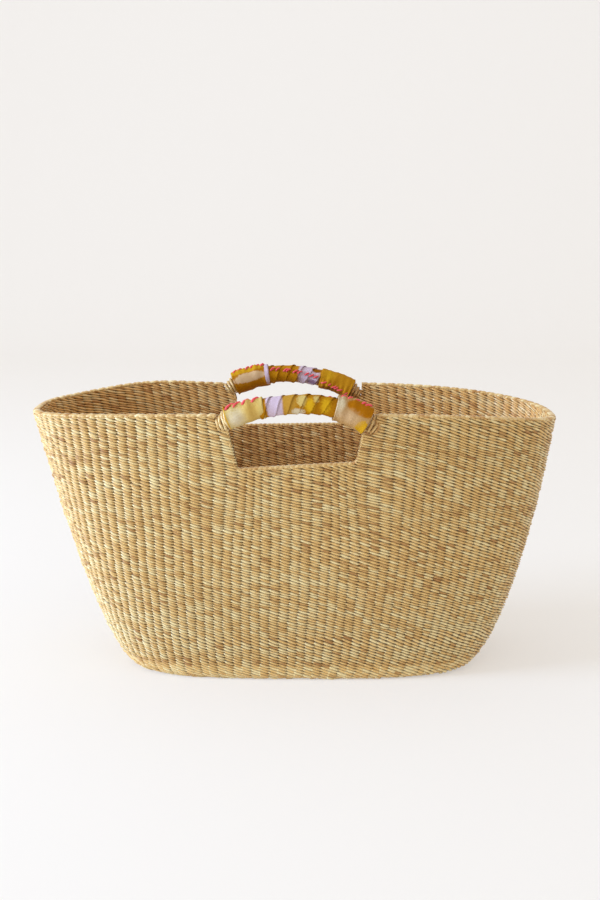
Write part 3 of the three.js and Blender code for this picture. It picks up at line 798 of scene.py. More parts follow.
def effect_group(
    name: str, inputs: dict[str, object], outputs: dict[str, object]
) -> tuple[NodeTree, Node, Node]:
    """A new shader group with named sockets.

    Args:
        name: The group's name.
        inputs: The default of each input.
        outputs: A value of each output's kind.

    Returns:
        The wiring helper, the group's input node and its output node.
    """
    group = bpy.data.node_groups.new(name, "ShaderNodeTree")
    for label, default in inputs.items():
        kind = SocketKind.of(default).value
        group.interface.new_socket(label, in_out="INPUT", socket_type=kind).default_value = default
    for label, value in outputs.items():
        group.interface.new_socket(label, in_out="OUTPUT", socket_type=SocketKind.of(value).value)
    tree = NodeTree(group)
    return tree, tree.add("NodeGroupInput"), tree.add("NodeGroupOutput")


@dataclass(frozen=True)
class FibreEffect:
    """The shared effect of split, twisted grass: streaks, tone, painted groove shade and small ridges."""

    fibre_scale: Triple = (260.0, 260.0, 1500.0)
    fibre_detail: float = 3.0
    blotch_scale: float = 34.0
    blotch_detail: float = 2.0
    dark_tone: float = 0.1
    middle_tone: float = 0.5
    pale_tone: float = 0.9
    dull_tone: float = 0.2
    dull_roughness: float = 0.5
    smooth_roughness: float = 0.3
    hollow_roughness: float = 0.45

    def build(self) -> ShaderNodeTree:
        """The group, made once.

        Returns:
            The group, which puts out a colour, a roughness and a height.
        """
        inputs = {
            "Place": ORIGIN,
            "Tone": 0.5,
            "Hollow": 0.0,
            "Pale": WHITE,
            "Straw": WHITE,
            "Dark": BLACK,
            "Painted Shade Colour": BLACK,
            "Streaks": 0.3,
            "Blotches": 0.3,
        }
        tree, given, out = effect_group("twisted_grass", inputs, SURFACE_OUTPUTS)
        fed = given.outputs
        stretched = tree.vector("MULTIPLY", fed["Place"], self.fibre_scale)
        streaks = tree.noise(stretched, 1.0, self.fibre_detail)
        blotches = tree.noise(fed["Place"], self.blotch_scale, self.blotch_detail)
        streak_shift = tree.math("MULTIPLY", tree.math("SUBTRACT", streaks, 0.5), fed["Streaks"])
        blotch_shift = tree.math("MULTIPLY", tree.math("SUBTRACT", blotches, 0.5), fed["Blotches"])
        tone = tree.math("ADD", tree.math("ADD", fed["Tone"], streak_shift), blotch_shift)
        lower_part = tree.ranged(tone, self.dark_tone, self.middle_tone)
        upper_part = tree.ranged(tone, self.middle_tone, self.pale_tone)
        body = tree.mix(upper_part, tree.mix(lower_part, fed["Dark"], fed["Straw"]), fed["Pale"])
        # Painted shade: the grooves and pits are mixed towards the dark shade colour.
        tree.link(tree.mix(fed["Hollow"], body, fed["Painted Shade Colour"]), out.inputs["Colour"])
        worn = tree.ranged(tone, self.dull_tone, self.pale_tone, self.dull_roughness, self.smooth_roughness)
        groove_roughness = tree.math("MULTIPLY", fed["Hollow"], self.hollow_roughness)
        tree.link(tree.math("ADD", worn, groove_roughness), out.inputs["Roughness"])
        tree.link(streaks, out.inputs["Height"])
        return tree.tree


@dataclass(frozen=True)
class DyeAndHighlightEffect:
    """The shared effect of one soft-edged patch of colour on a cloth; most are dye, a few painted highlights.
    """

    wander_scale: float = 9.0
    wander_detail: float = 2.0

    def build(self) -> ShaderNodeTree:
        """The group, made once.

        Returns:
            The group, which puts out the patch's mask.
        """
        inputs = {
            "Place": ORIGIN,
            "Middle": ORIGIN,
            "Reach": (1.0, 1.0, 1.0),
            "Wander": 0.5,
            "Softness": 0.2,
        }
        tree, given, out = effect_group("dye_and_highlight_patch", inputs, {"Mask": 0.0})
        fed = given.outputs
        wander = tree.noise(fed["Place"], self.wander_scale, self.wander_detail)
        away = tree.vector("DIVIDE", tree.vector("SUBTRACT", fed["Place"], fed["Middle"]), fed["Reach"])
        distance = tree.add("ShaderNodeVectorMath", {0: away}, operation="LENGTH").outputs["Value"]
        strayed = tree.math("MULTIPLY", tree.math("SUBTRACT", wander, 0.5), fed["Wander"])
        beyond = tree.math("SUBTRACT", tree.math("ADD", distance, strayed), 1.0)
        edge = tree.math("DIVIDE", beyond, fed["Softness"])
        tree.link(tree.ranged(edge, -1.0, 1.0, 1.0, 0.0), out.inputs["Mask"])
        return tree.tree


@dataclass(frozen=True)
class CottonEffect:
    """The shared effect of plain cotton: its threads, their unevenness and soft creases."""

    thread_wobble: float = 0.6
    thread_shade: float = 0.12
    thread_height: float = 0.3
    crease_scale: float = 22.0
    crease_detail: float = 4.0
    shade_range: Pair = (0.05, 0.35)
    level_range: Pair = (0.86, 1.06)
    crease_range: Pair = (0.3, 0.7)
    roughness_range: Pair = (0.72, 0.88)

    def threads(self, tree: NodeTree, place: NodeSocket, direction: str) -> NodeSocket:
        """A value that is high on each of the threads, counted along one axis of the place."""
        inputs = {"Vector": place, "Scale": 1.0, "Distortion": self.thread_wobble}
        return tree.add("ShaderNodeTexWave", inputs, bands_direction=direction).outputs[1]

    def build(self) -> ShaderNodeTree:
        """The group, made once.

        Returns:
            The group, which puts out a colour, a roughness and a height.
        """
        inputs = {
            "Place": ORIGIN,
            "Dye And Highlights": WHITE,
            "Threads": 60.0,
            "Wear": 0.3,
        }
        tree, given, out = effect_group("plain_cotton", inputs, SURFACE_OUTPUTS)
        fed = given.outputs
        scaled = tree.scaled(fed["Place"], fed["Threads"])
        weave = tree.math("MULTIPLY", self.threads(tree, scaled, "X"), self.threads(tree, scaled, "Y"))
        creases = tree.noise(fed["Place"], self.crease_scale, self.crease_detail)
        thread_shade = tree.math("MULTIPLY", weave, self.thread_shade)
        # Colour lighter where the crease noise is high, darker where low; that noise also raises the ridges.
        shade = tree.math("ADD", thread_shade, tree.math("MULTIPLY", creases, fed["Wear"]))
        level = tree.ranged(shade, *self.shade_range, *self.level_range)
        tree.link(tree.scaled(fed["Dye And Highlights"], level), out.inputs["Colour"])
        tree.link(tree.ranged(creases, *self.crease_range, *self.roughness_range), out.inputs["Roughness"])
        height = tree.math("ADD", tree.math("MULTIPLY", weave, self.thread_height), creases)
        tree.link(height, out.inputs["Height"])
        return tree.tree


class Effects:
    """The shader groups that several materials share."""

    def __init__(self) -> None:
        """Builds each group once."""
        self.grass = FibreEffect().build()
        self.patch = DyeAndHighlightEffect().build()
        self.cotton = CottonEffect().build()


def new_material(name: str, values: dict[str, object]) -> tuple[Material, NodeTree, Node]:
    """A material with its shader already wired to the surface.

    Args:
        name: The material's name.
        values: What is the same all over the surface, by the shader's socket.

    Returns:
        The material, its wiring helper and its shader.
    """
    material = bpy.data.materials.new(name)
    material.use_nodes = True
    material.node_tree.nodes.clear()
    tree = NodeTree(material.node_tree)
    shader = tree.add("ShaderNodeBsdfPrincipled", values)
    tree.add("ShaderNodeOutputMaterial", {"Surface": shader.outputs[0]})
    return material, tree, shader


@dataclass(frozen=True)
class GrassFinish:
    """The look of one kind of grass strand."""

    name: str
    pale: Colour = (248, 224, 160)
    straw: Colour = (234, 190, 110)
    dark: Colour = (180, 126, 56)
    # The dark brown painted as shade in the grooves between rows and the pits at the ribs' edges.
    hollow: Colour = (70, 28, 0)
    gloss: float = 0.8
    sheen: float = 0.2
    sheen_roughness: float = 0.35
    refraction: float = 1.5
    streaks: float = 0.85
    blotches: float = 0.3
    bump: float = 0.35
    bump_height: float = 0.4 * MM

    def build(self, effects: Effects) -> Material:
        """The material, which reads each strand's tone and its painted shade in the grooves and pits.

        Args:
            effects: The shared effects.

        Returns:
            The material.
        """
        constants = {
            "Specular IOR Level": self.gloss,
            "Sheen Weight": self.sheen,
            "Sheen Roughness": self.sheen_roughness,
            "IOR": self.refraction,
        }
        material, tree, shader = new_material(self.name, constants)
        values = {
            "Place": tree.add("ShaderNodeTexCoord").outputs["Object"],
            "Tone": tree.add("ShaderNodeAttribute", attribute_name="tone").outputs["Fac"],
            "Hollow": tree.add("ShaderNodeAttribute", attribute_name="hollow").outputs["Fac"],
            "Pale": linear(self.pale),
            "Straw": linear(self.straw),
            "Dark": linear(self.dark),
            "Painted Shade Colour": linear(self.hollow),
            "Streaks": self.streaks,
            "Blotches": self.blotches,
        }
        tree.finish(shader, tree.effect(effects.grass, values), (self.bump, self.bump_height))
        return material


@dataclass(frozen=True)
class DyeAndHighlightPatch:
    """A patch of colour on a cloth: its middle and reach are in millimetres along and turns round."""

    colour: Colour
    middle: Pair
    reach: Pair
    wander: float = 0.8
    softness: float = 0.12


@dataclass(frozen=True)
class ClothFinish:
    """The look of one dyed cotton cloth."""

    name: str
    ground: Colour
    patches: tuple[DyeAndHighlightPatch, ...] = ()
    # How far the crease noise lightens and darkens the colour.
    wear: float = 0.3
    bump: float = 0.5
    bump_height: float = 0.5 * MM
    gloss: float = 0.1
    length_scale: float = 60.0
    turn_scale: float = 3.4

    def stretched(self, pair: Pair, third: float) -> Triple:
        """Millimetres and a turn, in the layout that the patches are laid in."""
        return (pair[0] * MM * self.length_scale, pair[1] * self.turn_scale, third)

    def build(self, effects: Effects) -> Material:
        """The material, which lays its patches over the ground in order.

        Args:
            effects: The shared effects.

        Returns:
            The material.
        """
        material, tree, shader = new_material(self.name, {"Specular IOR Level": self.gloss})
        layout = tree.add("ShaderNodeUVMap", uv_map=CLOTH_MAP).outputs[0]
        place = tree.vector("MULTIPLY", layout, self.stretched((1 / MM, 1.0), 1.0))
        dye_and_highlights: object = linear(self.ground)
        for patch in self.patches:
            values = {
                "Place": place,
                "Middle": self.stretched(patch.middle, 0.0),
                "Reach": self.stretched(patch.reach, 1.0),
                "Wander": patch.wander,
                "Softness": patch.softness,
            }
            dye_and_highlights = tree.mix(tree.effect(effects.patch, values)["Mask"], dye_and_highlights, linear(patch.colour))
        values = {"Place": place, "Dye And Highlights": dye_and_highlights, "Wear": self.wear}
        tree.finish(shader, tree.effect(effects.cotton, values), (self.bump, self.bump_height))
        return material


@dataclass(frozen=True)
class ThreadFinish:
    """The look of the stitching thread."""

    name: str = "coral_thread"
    light: Colour = (246, 88, 94)
    dark: Colour = (214, 34, 56)
    ply_scale: float = 900.0
    ply_detail: float = 2.0
    tone_range: Pair = (0.25, 0.75)
    bump: float = 0.4
    bump_height: float = 0.2 * MM
    roughness: float = 0.62
    sheen: float = 0.2

    def build(self) -> Material:
        """The material, which mixes its two tones along each stitch.

        Returns:
            The material.
        """
        constants = {"Roughness": self.roughness, "Sheen Weight": self.sheen}
        material, tree, shader = new_material(self.name, constants)
        place = tree.add("ShaderNodeTexCoord").outputs["Object"]
        plies = tree.noise(place, self.ply_scale, self.ply_detail)
        tone = tree.add("ShaderNodeAttribute", attribute_name="tone").outputs["Fac"]
        level = tree.math("ADD", tree.math("MULTIPLY", plies, 0.5), tree.math("MULTIPLY", tone, 0.5))
        part = tree.ranged(level, *self.tone_range)
        tree.link(tree.mix(part, linear(self.dark), linear(self.light)), shader.inputs["Base Color"])
        tree.link(tree.bumped(plies, self.bump, self.bump_height), shader.inputs["Normal"])
        return material


@dataclass(frozen=True)
class Stitch:
    """The relief of one twined stitch, and how finely it is drawn."""

    places: tuple[float, ...] = (0.03, 0.14, 0.3, 0.5, 0.7, 0.86, 0.97)
    phases: tuple[float, ...] = (0.0, 0.18, 0.5, 0.82)
    lean_rows: float = 1.05
    rib_rise: float = 0.18 * MM
    left_rib_rise: float = 1.3 * MM
    rib_fullness: float = 0.55
    strand_rise: float = 1.7 * MM
    pit_depth: float = 1.7 * MM
    crest: float = 0.5 * MM
    groove_power: float = 0.7
    groove_shade: float = 0.62
    low_shade: float = 0.2
    pit_shade: float = 1.3
    crown_light: float = -0.18
    deep_shade: float = 0.0
    deep_rows: Pair = (62.0, 82.0)
    low_rows: Pair = (0.0, 45.0)
    low_light: float = 0.12
    waled_light: float = 0.1
    ruddy_shade: float = 0.2
    waled_dips: Pair = (0.1, 0.75)
    waled_flatness: float = 0.25
    tucked_share: float = 0.1
    bay_power: float = 1.4

    def rib_form(self, place: Array) -> Array:
        """How full the rib is across its width.

        Args:
            place: The place across the rib.

        Returns:
            0 at the rib's edges and 1 on its crown.
        """
        edge = math.sin(math.pi * self.places[0])
        crown = (np.sin(math.pi * place) - edge) / (1 - edge)
        return np.maximum(crown, 0.0) ** self.rib_fullness


@dataclass
class WovenWall:
    """The wall and the heel, twined round the stakes in slanted stitches on both faces."""

    body: BasketBody
    hands: dict[Side, Hand]
    finish: dict[Face, Material]
    wall_rows: int = 88
    heel_rows: int = 10
    waled_rows: int = 7
    spare_rows: int = 8
    row_unevenness: float = 0.12
    thinnest_row: float = 0.6
    fullness_spread: float = 0.26
    middle_tone: float = 0.6
    strand_tone_spread: float = 0.03
    strand_tone_hold: float = 0.8
    single_tone_spread: float = 0.15
    broad_tone_spread: float = 0.03
    broad_wavelength: float = 160 * MM
    rib_pitch: float = 9.7 * MM
    row_pitch: float = 2.7 * MM
    flaw_share: float = 0.04
    flaw_tone: float = -0.14
    sway: float = 0.5 * MM
    sway_wavelength: float = 90 * MM
    sway_foot_rows: float = 8.0
    rib_sway: float = 0.35 * MM
    rib_sway_wavelength: float = 70 * MM
    side_share: float = 0.6
    floor_gap: float = 0.15 * MM
    foot_margin: float = 0.1 * MM
    rim_tuck: float = 2.0 * MM
    sill_tuck: float = 1.6 * MM
    root_tuck: float = 2.0 * MM
    root_margin: float = 8.5 * MM
    jamb_pull: float = 38 * MM
    lift_reach: float = 165 * MM
    lift_depth: float = 110 * MM
    seed: int = 20
    broad_seed: int = 4
    sway_seed: int = 11
    rib_sway_seed: int = 12

    def __post_init__(self) -> None:
        """Draws the random tones and row heights once, so that every skin shares them."""
        rng = np.random.default_rng(self.seed)
        body = self.body
        rows = self.wall_rows + self.heel_rows + self.spare_rows
        strands = drifting(rng, rows, body.stake_count, self.strand_tone_hold)
        single = rng.normal(size=(rows, body.stake_count))
        is_flawed = rng.uniform(size=(rows, body.stake_count)) < self.flaw_share
        rib, row = np.meshgrid(np.arange(body.stake_count), np.arange(rows))
        broad = Ripple(self.broad_seed, self.broad_wavelength).at(rib * self.rib_pitch, row * self.row_pitch)
        tones = self.middle_tone + self.strand_tone_spread * strands + self.single_tone_spread * single
        self.tones = tones + self.broad_tone_spread * broad + np.where(is_flawed, self.flaw_tone, 0.0)
        thickness = 1 + self.row_unevenness * rng.normal(size=self.wall_rows)
        edges = np.concatenate([[0.0], np.cumsum(np.maximum(thickness, self.thinnest_row))])
        self.row_shares = edges / edges[-1]
        self.fullness = 1 + self.fullness_spread * rng.normal(size=(rows, body.stake_count))
        self.jamb_lines = {
            (hand.side, end): self.jamb_line(hand, end) for hand in self.hands.values() for end in End
        }

    def jamb_line(self, hand: Hand, end: End) -> float:
        """The share of the rib edge that is nearest to a jamb.

        Args:
            hand: The slot.
            end: The end of the slot.

        Returns:
            The share.
        """
        body = self.body
        middle = body.rim_height - hand.slot_depth / 2
        jamb = hand.shift + float(hand.jamb_place(end, middle))
        return round(body.share_at(jamb, hand.side, middle) * body.stake_count) / body.stake_count

    def settled_share(self, share: Array, z: Array) -> Array:
        """The share with the ribs drawn to the jambs of the hand slots.

        Args:
            share: Shares of the way round.
            z: Heights.

        Returns:
            The shares at which those ribs really stand.
        """
        body = self.body
        settled = np.array(share, float)
        for (side, end), line in self.jamb_lines.items():
            hand = self.hands[side]
            sill = hand.sill_height(0.0)
            stands = body.outer(line, z)[..., 0]
            shift = (hand.shift + hand.jamb_place(end, z) - stands) * -side.value / body.perimeter(z)
            away = np.abs((share - line + 0.5) % 1.0 - 0.5) * body.perimeter(z)
            pull = 1 - smooth_step(0.0, self.jamb_pull, away)
            settled += shift * pull * smooth_step(sill - self.lift_depth, sill, z)
        return settled

    def lifted(self, share: Array, z: Array) -> Array:
        """Heights with the rows near a slot tipped to lie along its sill.

        Args:
            share: Shares of the way round.
            z: Heights.

        Returns:
            The heights at which those rows really lie.
        """
        point = self.body.outer(share, z)
        lift = np.zeros(z.shape)
        for hand in self.hands.values():
            half_sill = hand.slot_sill_width / 2
            sill = hand.sill_height(0.0)
            place = point[..., 0] - hand.shift
            near = 1 - smooth_step(half_sill, self.lift_reach, np.abs(place))
            under = smooth_step(sill - self.lift_depth, sill, z)
            below_rim = 1 - smooth_step(sill, self.body.rim_height, z)
            tip = hand.sill_rise / hand.slot_sill_width * np.clip(place, -half_sill, half_sill)
            is_here = point[..., 1] * hand.side.value > 0
            lift += np.where(is_here, tip * near * under * below_rim, 0.0)
        return z + lift

    def heights(self, share: Array, row: Array) -> tuple[Array, Array]:
        """Where the rows lie.

        Args:
            share: Shares of the way round.
            row: Rows above the foot of the wall; those in the heel are below 0.

        Returns:
            The heights, and the distances along the profile.
        """
        body = self.body
        top = body.rim_at(share) - self.rim_tuck
        pitch = 1 / self.wall_rows
        part = np.interp(row, np.arange(self.wall_rows + 1), self.row_shares)
        part = part + np.maximum(row - self.wall_rows, 0.0) * pitch
        upper = body.wall_foot + (top - body.wall_foot) * part
        ripple = Ripple(self.sway_seed, self.sway_wavelength).at(body.way_round(share), upper)
        upper = upper + self.sway * ripple * smooth_step(0.0, self.sway_foot_rows, row)
        upper = self.lifted(share, upper)
        heel_run = np.minimum(row, 0.0) * body.heel_drop / self.heel_rows
        run = np.where(row < 0, heel_run, upper - body.wall_foot)
        return body.climb(run), run

    def relief(
        self, stitch: Stitch, place: Array, phase: Array, row: Array, is_inner: Array, full: Array,
        share: Array,
    ) -> tuple[Array, Array, Array]:
        """How far the skin stands out, how deep in shade it lies and how light its crown is.

        Args:
            stitch: The stitch's relief.
            place: The place across the rib.
            phase: The place across the strand.
            row: The row, where the lowest ones pass over two stakes at a time.
            is_inner: Whether the nearer rib edge lies inside such a pair.
            full: How full the strand is.
            share: The share of the way round; the ribs stand prouder towards the left end.

        Returns:
            The rise, the share of shade and the shift in tone.
        """
        from_floor = row + self.heel_rows
        rib_form = stitch.rib_form(place)
        waled = 1 - smooth_step(self.waled_rows - 1.0, self.waled_rows + 1.0, from_floor)
        opened = 1 - waled * (1 - np.where(is_inner, *stitch.waled_dips))
        dip = (1 - rib_form) * opened
        ridge = np.sqrt(np.maximum(1 - (2 * phase - 1) ** 2, 0.0))
        strand = stitch.strand_rise * (1 - stitch.waled_flatness * waled)
        leftness = (0.5 - 0.5 * np.cos(FULL_TURN * share)) ** 2
        rib_rise = stitch.rib_rise + stitch.left_rib_rise * leftness
        rise = strand * (ridge * full - 1) - rib_rise * dip - stitch.pit_depth * dip * (1 - ridge)
        tucked = smooth_step(0.0, 2.0, from_floor)
        rise = rise + stitch.crest * (stitch.tucked_share + (1 - stitch.tucked_share) * tucked)
        bay = (1 - np.sin(math.pi * place)) ** stitch.bay_power * opened
        lowness = (1 - smooth_step(*stitch.low_rows, row)) * (1 - waled)
        strength = stitch.groove_shade + stitch.low_shade * lowness + stitch.pit_shade * bay
        shade = np.clip(strength * (1 - ridge) ** stitch.groove_power, 0.0, 1.0)
        ruddy = np.exp(-((from_floor - self.waled_rows - 0.5) ** 2))
        light = stitch.crown_light * (rib_form * ridge - 0.5) + stitch.low_light * lowness
        light = light - stitch.deep_shade * (1 - smooth_step(*stitch.deep_rows, row))
        return rise, shade, light + stitch.waled_light * waled - stitch.ruddy_shade * ruddy

    def skin(self, quarter: Quarter, face: Face, stitch: Stitch) -> Arrays:
        """One quarter of one face, as a grid that slants down at each rib.

        Args:
            quarter: The quarter that it covers.
            face: The face of the wall.
            stitch: The stitch's relief.

        Returns:
            points, faces, tone, the painted shade of grooves and pits, map, and the row, the room left
            under the edge and the distance along the profile for each face.
        """
        body = self.body
        count = body.stake_count // len(Quarter)
        first = round((quarter.value - 0.5) * count)
        width, samples = len(stitch.places), len(stitch.phases)
        columns = count * width + 1
        from_crown = np.arange(columns)[:, None] + width // 2
        rib = from_crown // width
        place = np.array(stitch.places)[from_crown % width]
        low = -self.heel_rows - 1
        spans = samples * (self.wall_rows + 2 - low)
        step = np.arange(spans + 1)
        phase = np.array(stitch.phases)[step % samples][None, :]
        strand = low + step[None, :] // samples + phase
        across = place if face is Face.OUTSIDE else 1 - place
        row = strand - 0.5 - stitch.lean_rows * (across - 0.5)
        share = np.broadcast_to((first + rib + place) / body.stake_count, row.shape)
        z, run = self.heights(share, row)
        settled = self.settled_share(share, z)
        wander = Ripple(self.rib_sway_seed, self.rib_sway_wavelength).at(body.way_round(share), z)
        settled = settled + self.rib_sway * wander / body.perimeter(z)
        base = body.outer(settled, z)
        normal = body.normal(settled, run)
        which = (first + rib) % body.stake_count
        number = step[None, :] // samples + 1
        is_inner = (which % 2 == 1) == (place < 0.5)
        full = self.fullness[number, which]
        rise, shade, light = self.relief(stitch, place, phase, row, is_inner, full, share)
        depth = 0.0 if face is Face.OUTSIDE else body.wall_thickness
        points = base + normal * (face.value * rise - depth)[..., None]
        points[..., 2] = np.maximum(points[..., 2], self.floor_gap)
        tone = self.tones[number, which] + light
        faces = self.skin_faces(columns, width, spans, samples, face)
        room = (self.edge_height(base) - z).ravel()
        return {
            "points": points.reshape(-1, 3),
            "faces": faces,
            "tone": tone.ravel(),
            # Painted shade: darker in the grooves between rows and the pits at the ribs' edges.
            "hollow": shade.ravel(),
            "map": grid_map(columns, spans + 1),
            "face_row": row.ravel()[faces].mean(axis=1),
            "face_room": room[faces].mean(axis=1),
            "face_run": run.ravel()[faces].mean(axis=1),
        }

    @staticmethod
    def skin_faces(columns: int, width: int, spans: int, samples: int, face: Face) -> Array:
        """Faces of a slanted grid, which steps by a row where one rib ends and the next starts.

        Args:
            columns: How many columns of points.
            width: How many of them draw one rib.
            spans: How many steps each column has.
            samples: How many of them draw one strand.
            face: The face of the wall.

        Returns:
            Corner numbers (m, 4).
        """
        column, step = np.meshgrid(np.arange(columns - 1), np.arange(spans), indexing="ij")
        is_crossing = (column + width // 2) % width == width - 1
        shift = np.where(is_crossing, samples * -face.value, 0)
        other = step + shift
        is_real = (other >= 0) & (other < spans)
        tall = spans + 1
        near, far = column * tall + step, (column + 1) * tall + other
        corners = [near, far, far + 1, near + 1]
        if face is Face.INSIDE:
            corners.reverse()
        return np.stack([c[is_real] for c in corners], axis=1)

    def edge_height(self, base: Array) -> Array:
        """The height at which the wall ends: under the rim, the handle's root or the sill.

        Args:
            base: Places on the outer face (..., 3).

        Returns:
            The heights.
        """
        body = self.body
        x, y, z = base[..., 0], base[..., 1], base[..., 2]
        height = body.rim_at(body.rim_share(x, y)) - self.rim_tuck
        for hand in self.hands.values():
            place = x - hand.shift
            is_side = y * hand.side.value > self.side_share * body.rim_depth / 2
            is_root = is_side & (np.abs(place) < hand.root_reach - self.root_margin)
            height = np.where(is_root, np.minimum(height, hand.height(place) - self.root_tuck), height)
            is_slot = is_side & (np.abs(place) < np.abs(hand.jamb_place(End.RIGHT, z)))
            height = np.where(is_slot, hand.sill_height(place) - self.sill_tuck, height)
        return height

    def build(self) -> None:
        """Makes the wall's eight skins and the heel's two."""
        calmer = Stitch(
            places=(0.03, 0.18, 0.5, 0.82, 0.97),
            groove_shade=0.5,
            rib_rise=0.5 * MM,
            left_rib_rise=0.3 * MM,
            deep_shade=0.2,
        )
        stitches = {Face.OUTSIDE: Stitch(), Face.INSIDE: calmer}
        for face in Face:
            heel_parts = []
            for quarter in Quarter:
                skin = self.skin(quarter, face, stitches[face])
                is_heel = skin["face_row"] < 0
                in_reach = skin["face_run"] > self.foot_margin - self.body.heel_drop
                heel_parts.append({**skin, "faces": skin["faces"][is_heel & in_reach]})
                wall = {**skin, "faces": skin["faces"][~is_heel & (skin["face_room"] > 0)]}
                name = f"wall_{face.name.lower()}_{quarter.name.lower()}"
                piece = mesh_piece(name, wall, self.finish[face])
                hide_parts("wall_weave")
            heel = joined(heel_parts, MAP_FILL, 1)
            piece = mesh_piece(f"heel_{face.name.lower()}", heel, self.finish[face])
            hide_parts("heel_band")


@dataclass
class BaseMat:
    """The oval mat under the basket, twined in rings round a straight middle."""

    body: BasketBody
    finish: dict[Face, Material]
    rings: int = 26
    spokes: int = 96
    samples: int = 3
    places: tuple[float, ...] = (0.0, 0.2, 0.5, 0.8)
    spine_share: float = 0.92
    strand_rise: float = 0.9 * MM
    rib_rise: float = 0.9 * MM
    rib_fullness: float = 0.6
    full_ribs: Triple = (1.6, 0.2, 1.0)
    pit_shade: float = 0.9
    groove_shade: float = 0.4
    middle_tone: float = 0.5
    strand_tone_spread: float = 0.08
    strand_tone_hold: float = 0.85
    single_tone_spread: float = 0.1
    overlap: float = 1.5 * MM
    floor_gap: float = 0.15 * MM
    seed: int = 31

    def surface(self, face: Face) -> Arrays:
        """One face of the mat.

        Args:
            face: Outside is the underside, and inside the floor of the basket.

        Returns:
            points, faces, tone, painted shade and map.
        """
        body = self.body
        rng = np.random.default_rng(self.seed)
        spoke = np.repeat(np.arange(self.spokes), len(self.places))
        place = np.tile(self.places, self.spokes)
        share = (spoke + place) / self.spokes
        ring = np.linspace(0, self.rings, self.rings * self.samples + 1)
        edge = body.outer(share, 0.0)[:, :2]
        _, half_length, half_depth, _ = body.plan_at(0.0)
        straight = half_length - half_depth
        spine_x = self.spine_share * np.clip(edge[:, 0], -straight, straight)
        spine = np.stack([spine_x, np.zeros(len(edge))], axis=1)
        outward = unit(edge - spine)
        overlap = self.overlap if face is Face.INSIDE else 0.0
        reach = np.linalg.norm(edge - spine, axis=1) + overlap
        part = (ring / self.rings)[None, :]
        flat = spine[:, None] + outward[:, None] * (reach[:, None] * part)[..., None]
        ridge = np.sqrt(np.maximum(1 - (2 * (ring % 1) - 1) ** 2, 0.0))[None, :]
        dip = 1 - np.sin(math.pi * place)[:, None] ** self.rib_fullness
        growth, least, most = self.full_ribs
        spread = np.clip(part * growth, least, most)
        rise = self.strand_rise * (ridge - 1) - self.rib_rise * dip * spread
        z = body.wall_thickness + rise if face is Face.INSIDE else self.floor_gap - rise
        points = np.concatenate([flat, z[..., None]], axis=2)
        number = np.minimum(ring.astype(int), self.rings - 1)
        single = rng.normal(size=(self.rings, self.spokes))
        strands = drifting(rng, self.rings, self.spokes, self.strand_tone_hold)
        tones = self.middle_tone + self.strand_tone_spread * strands + self.single_tone_spread * single
        tone = tones[number[None, :], spoke[:, None]]
        # Painted shade in the grooves between rings and the pits between spokes.
        hollow = np.clip((self.pit_shade * dip * spread + self.groove_shade) * (1 - ridge), 0, 1)
        columns, rows = points.shape[:2]
        faces = grid_faces(columns + 1, rows, False) % (columns * rows)
        if face is Face.INSIDE:
            faces = faces[:, ::-1]
        return {
            "points": points.reshape(-1, 3),
            "faces": faces,
            "tone": tone.ravel(),
            "hollow": hollow.ravel(),
            "map": grid_map(columns, rows),
        }

    def build(self) -> None:
        """Makes the floor and the underside."""
        for face, name in ((Face.INSIDE, "base_floor"), (Face.OUTSIDE, "base_underside")):
            piece = mesh_piece(name, self.surface(face), self.finish[face])
            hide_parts("base_mat")


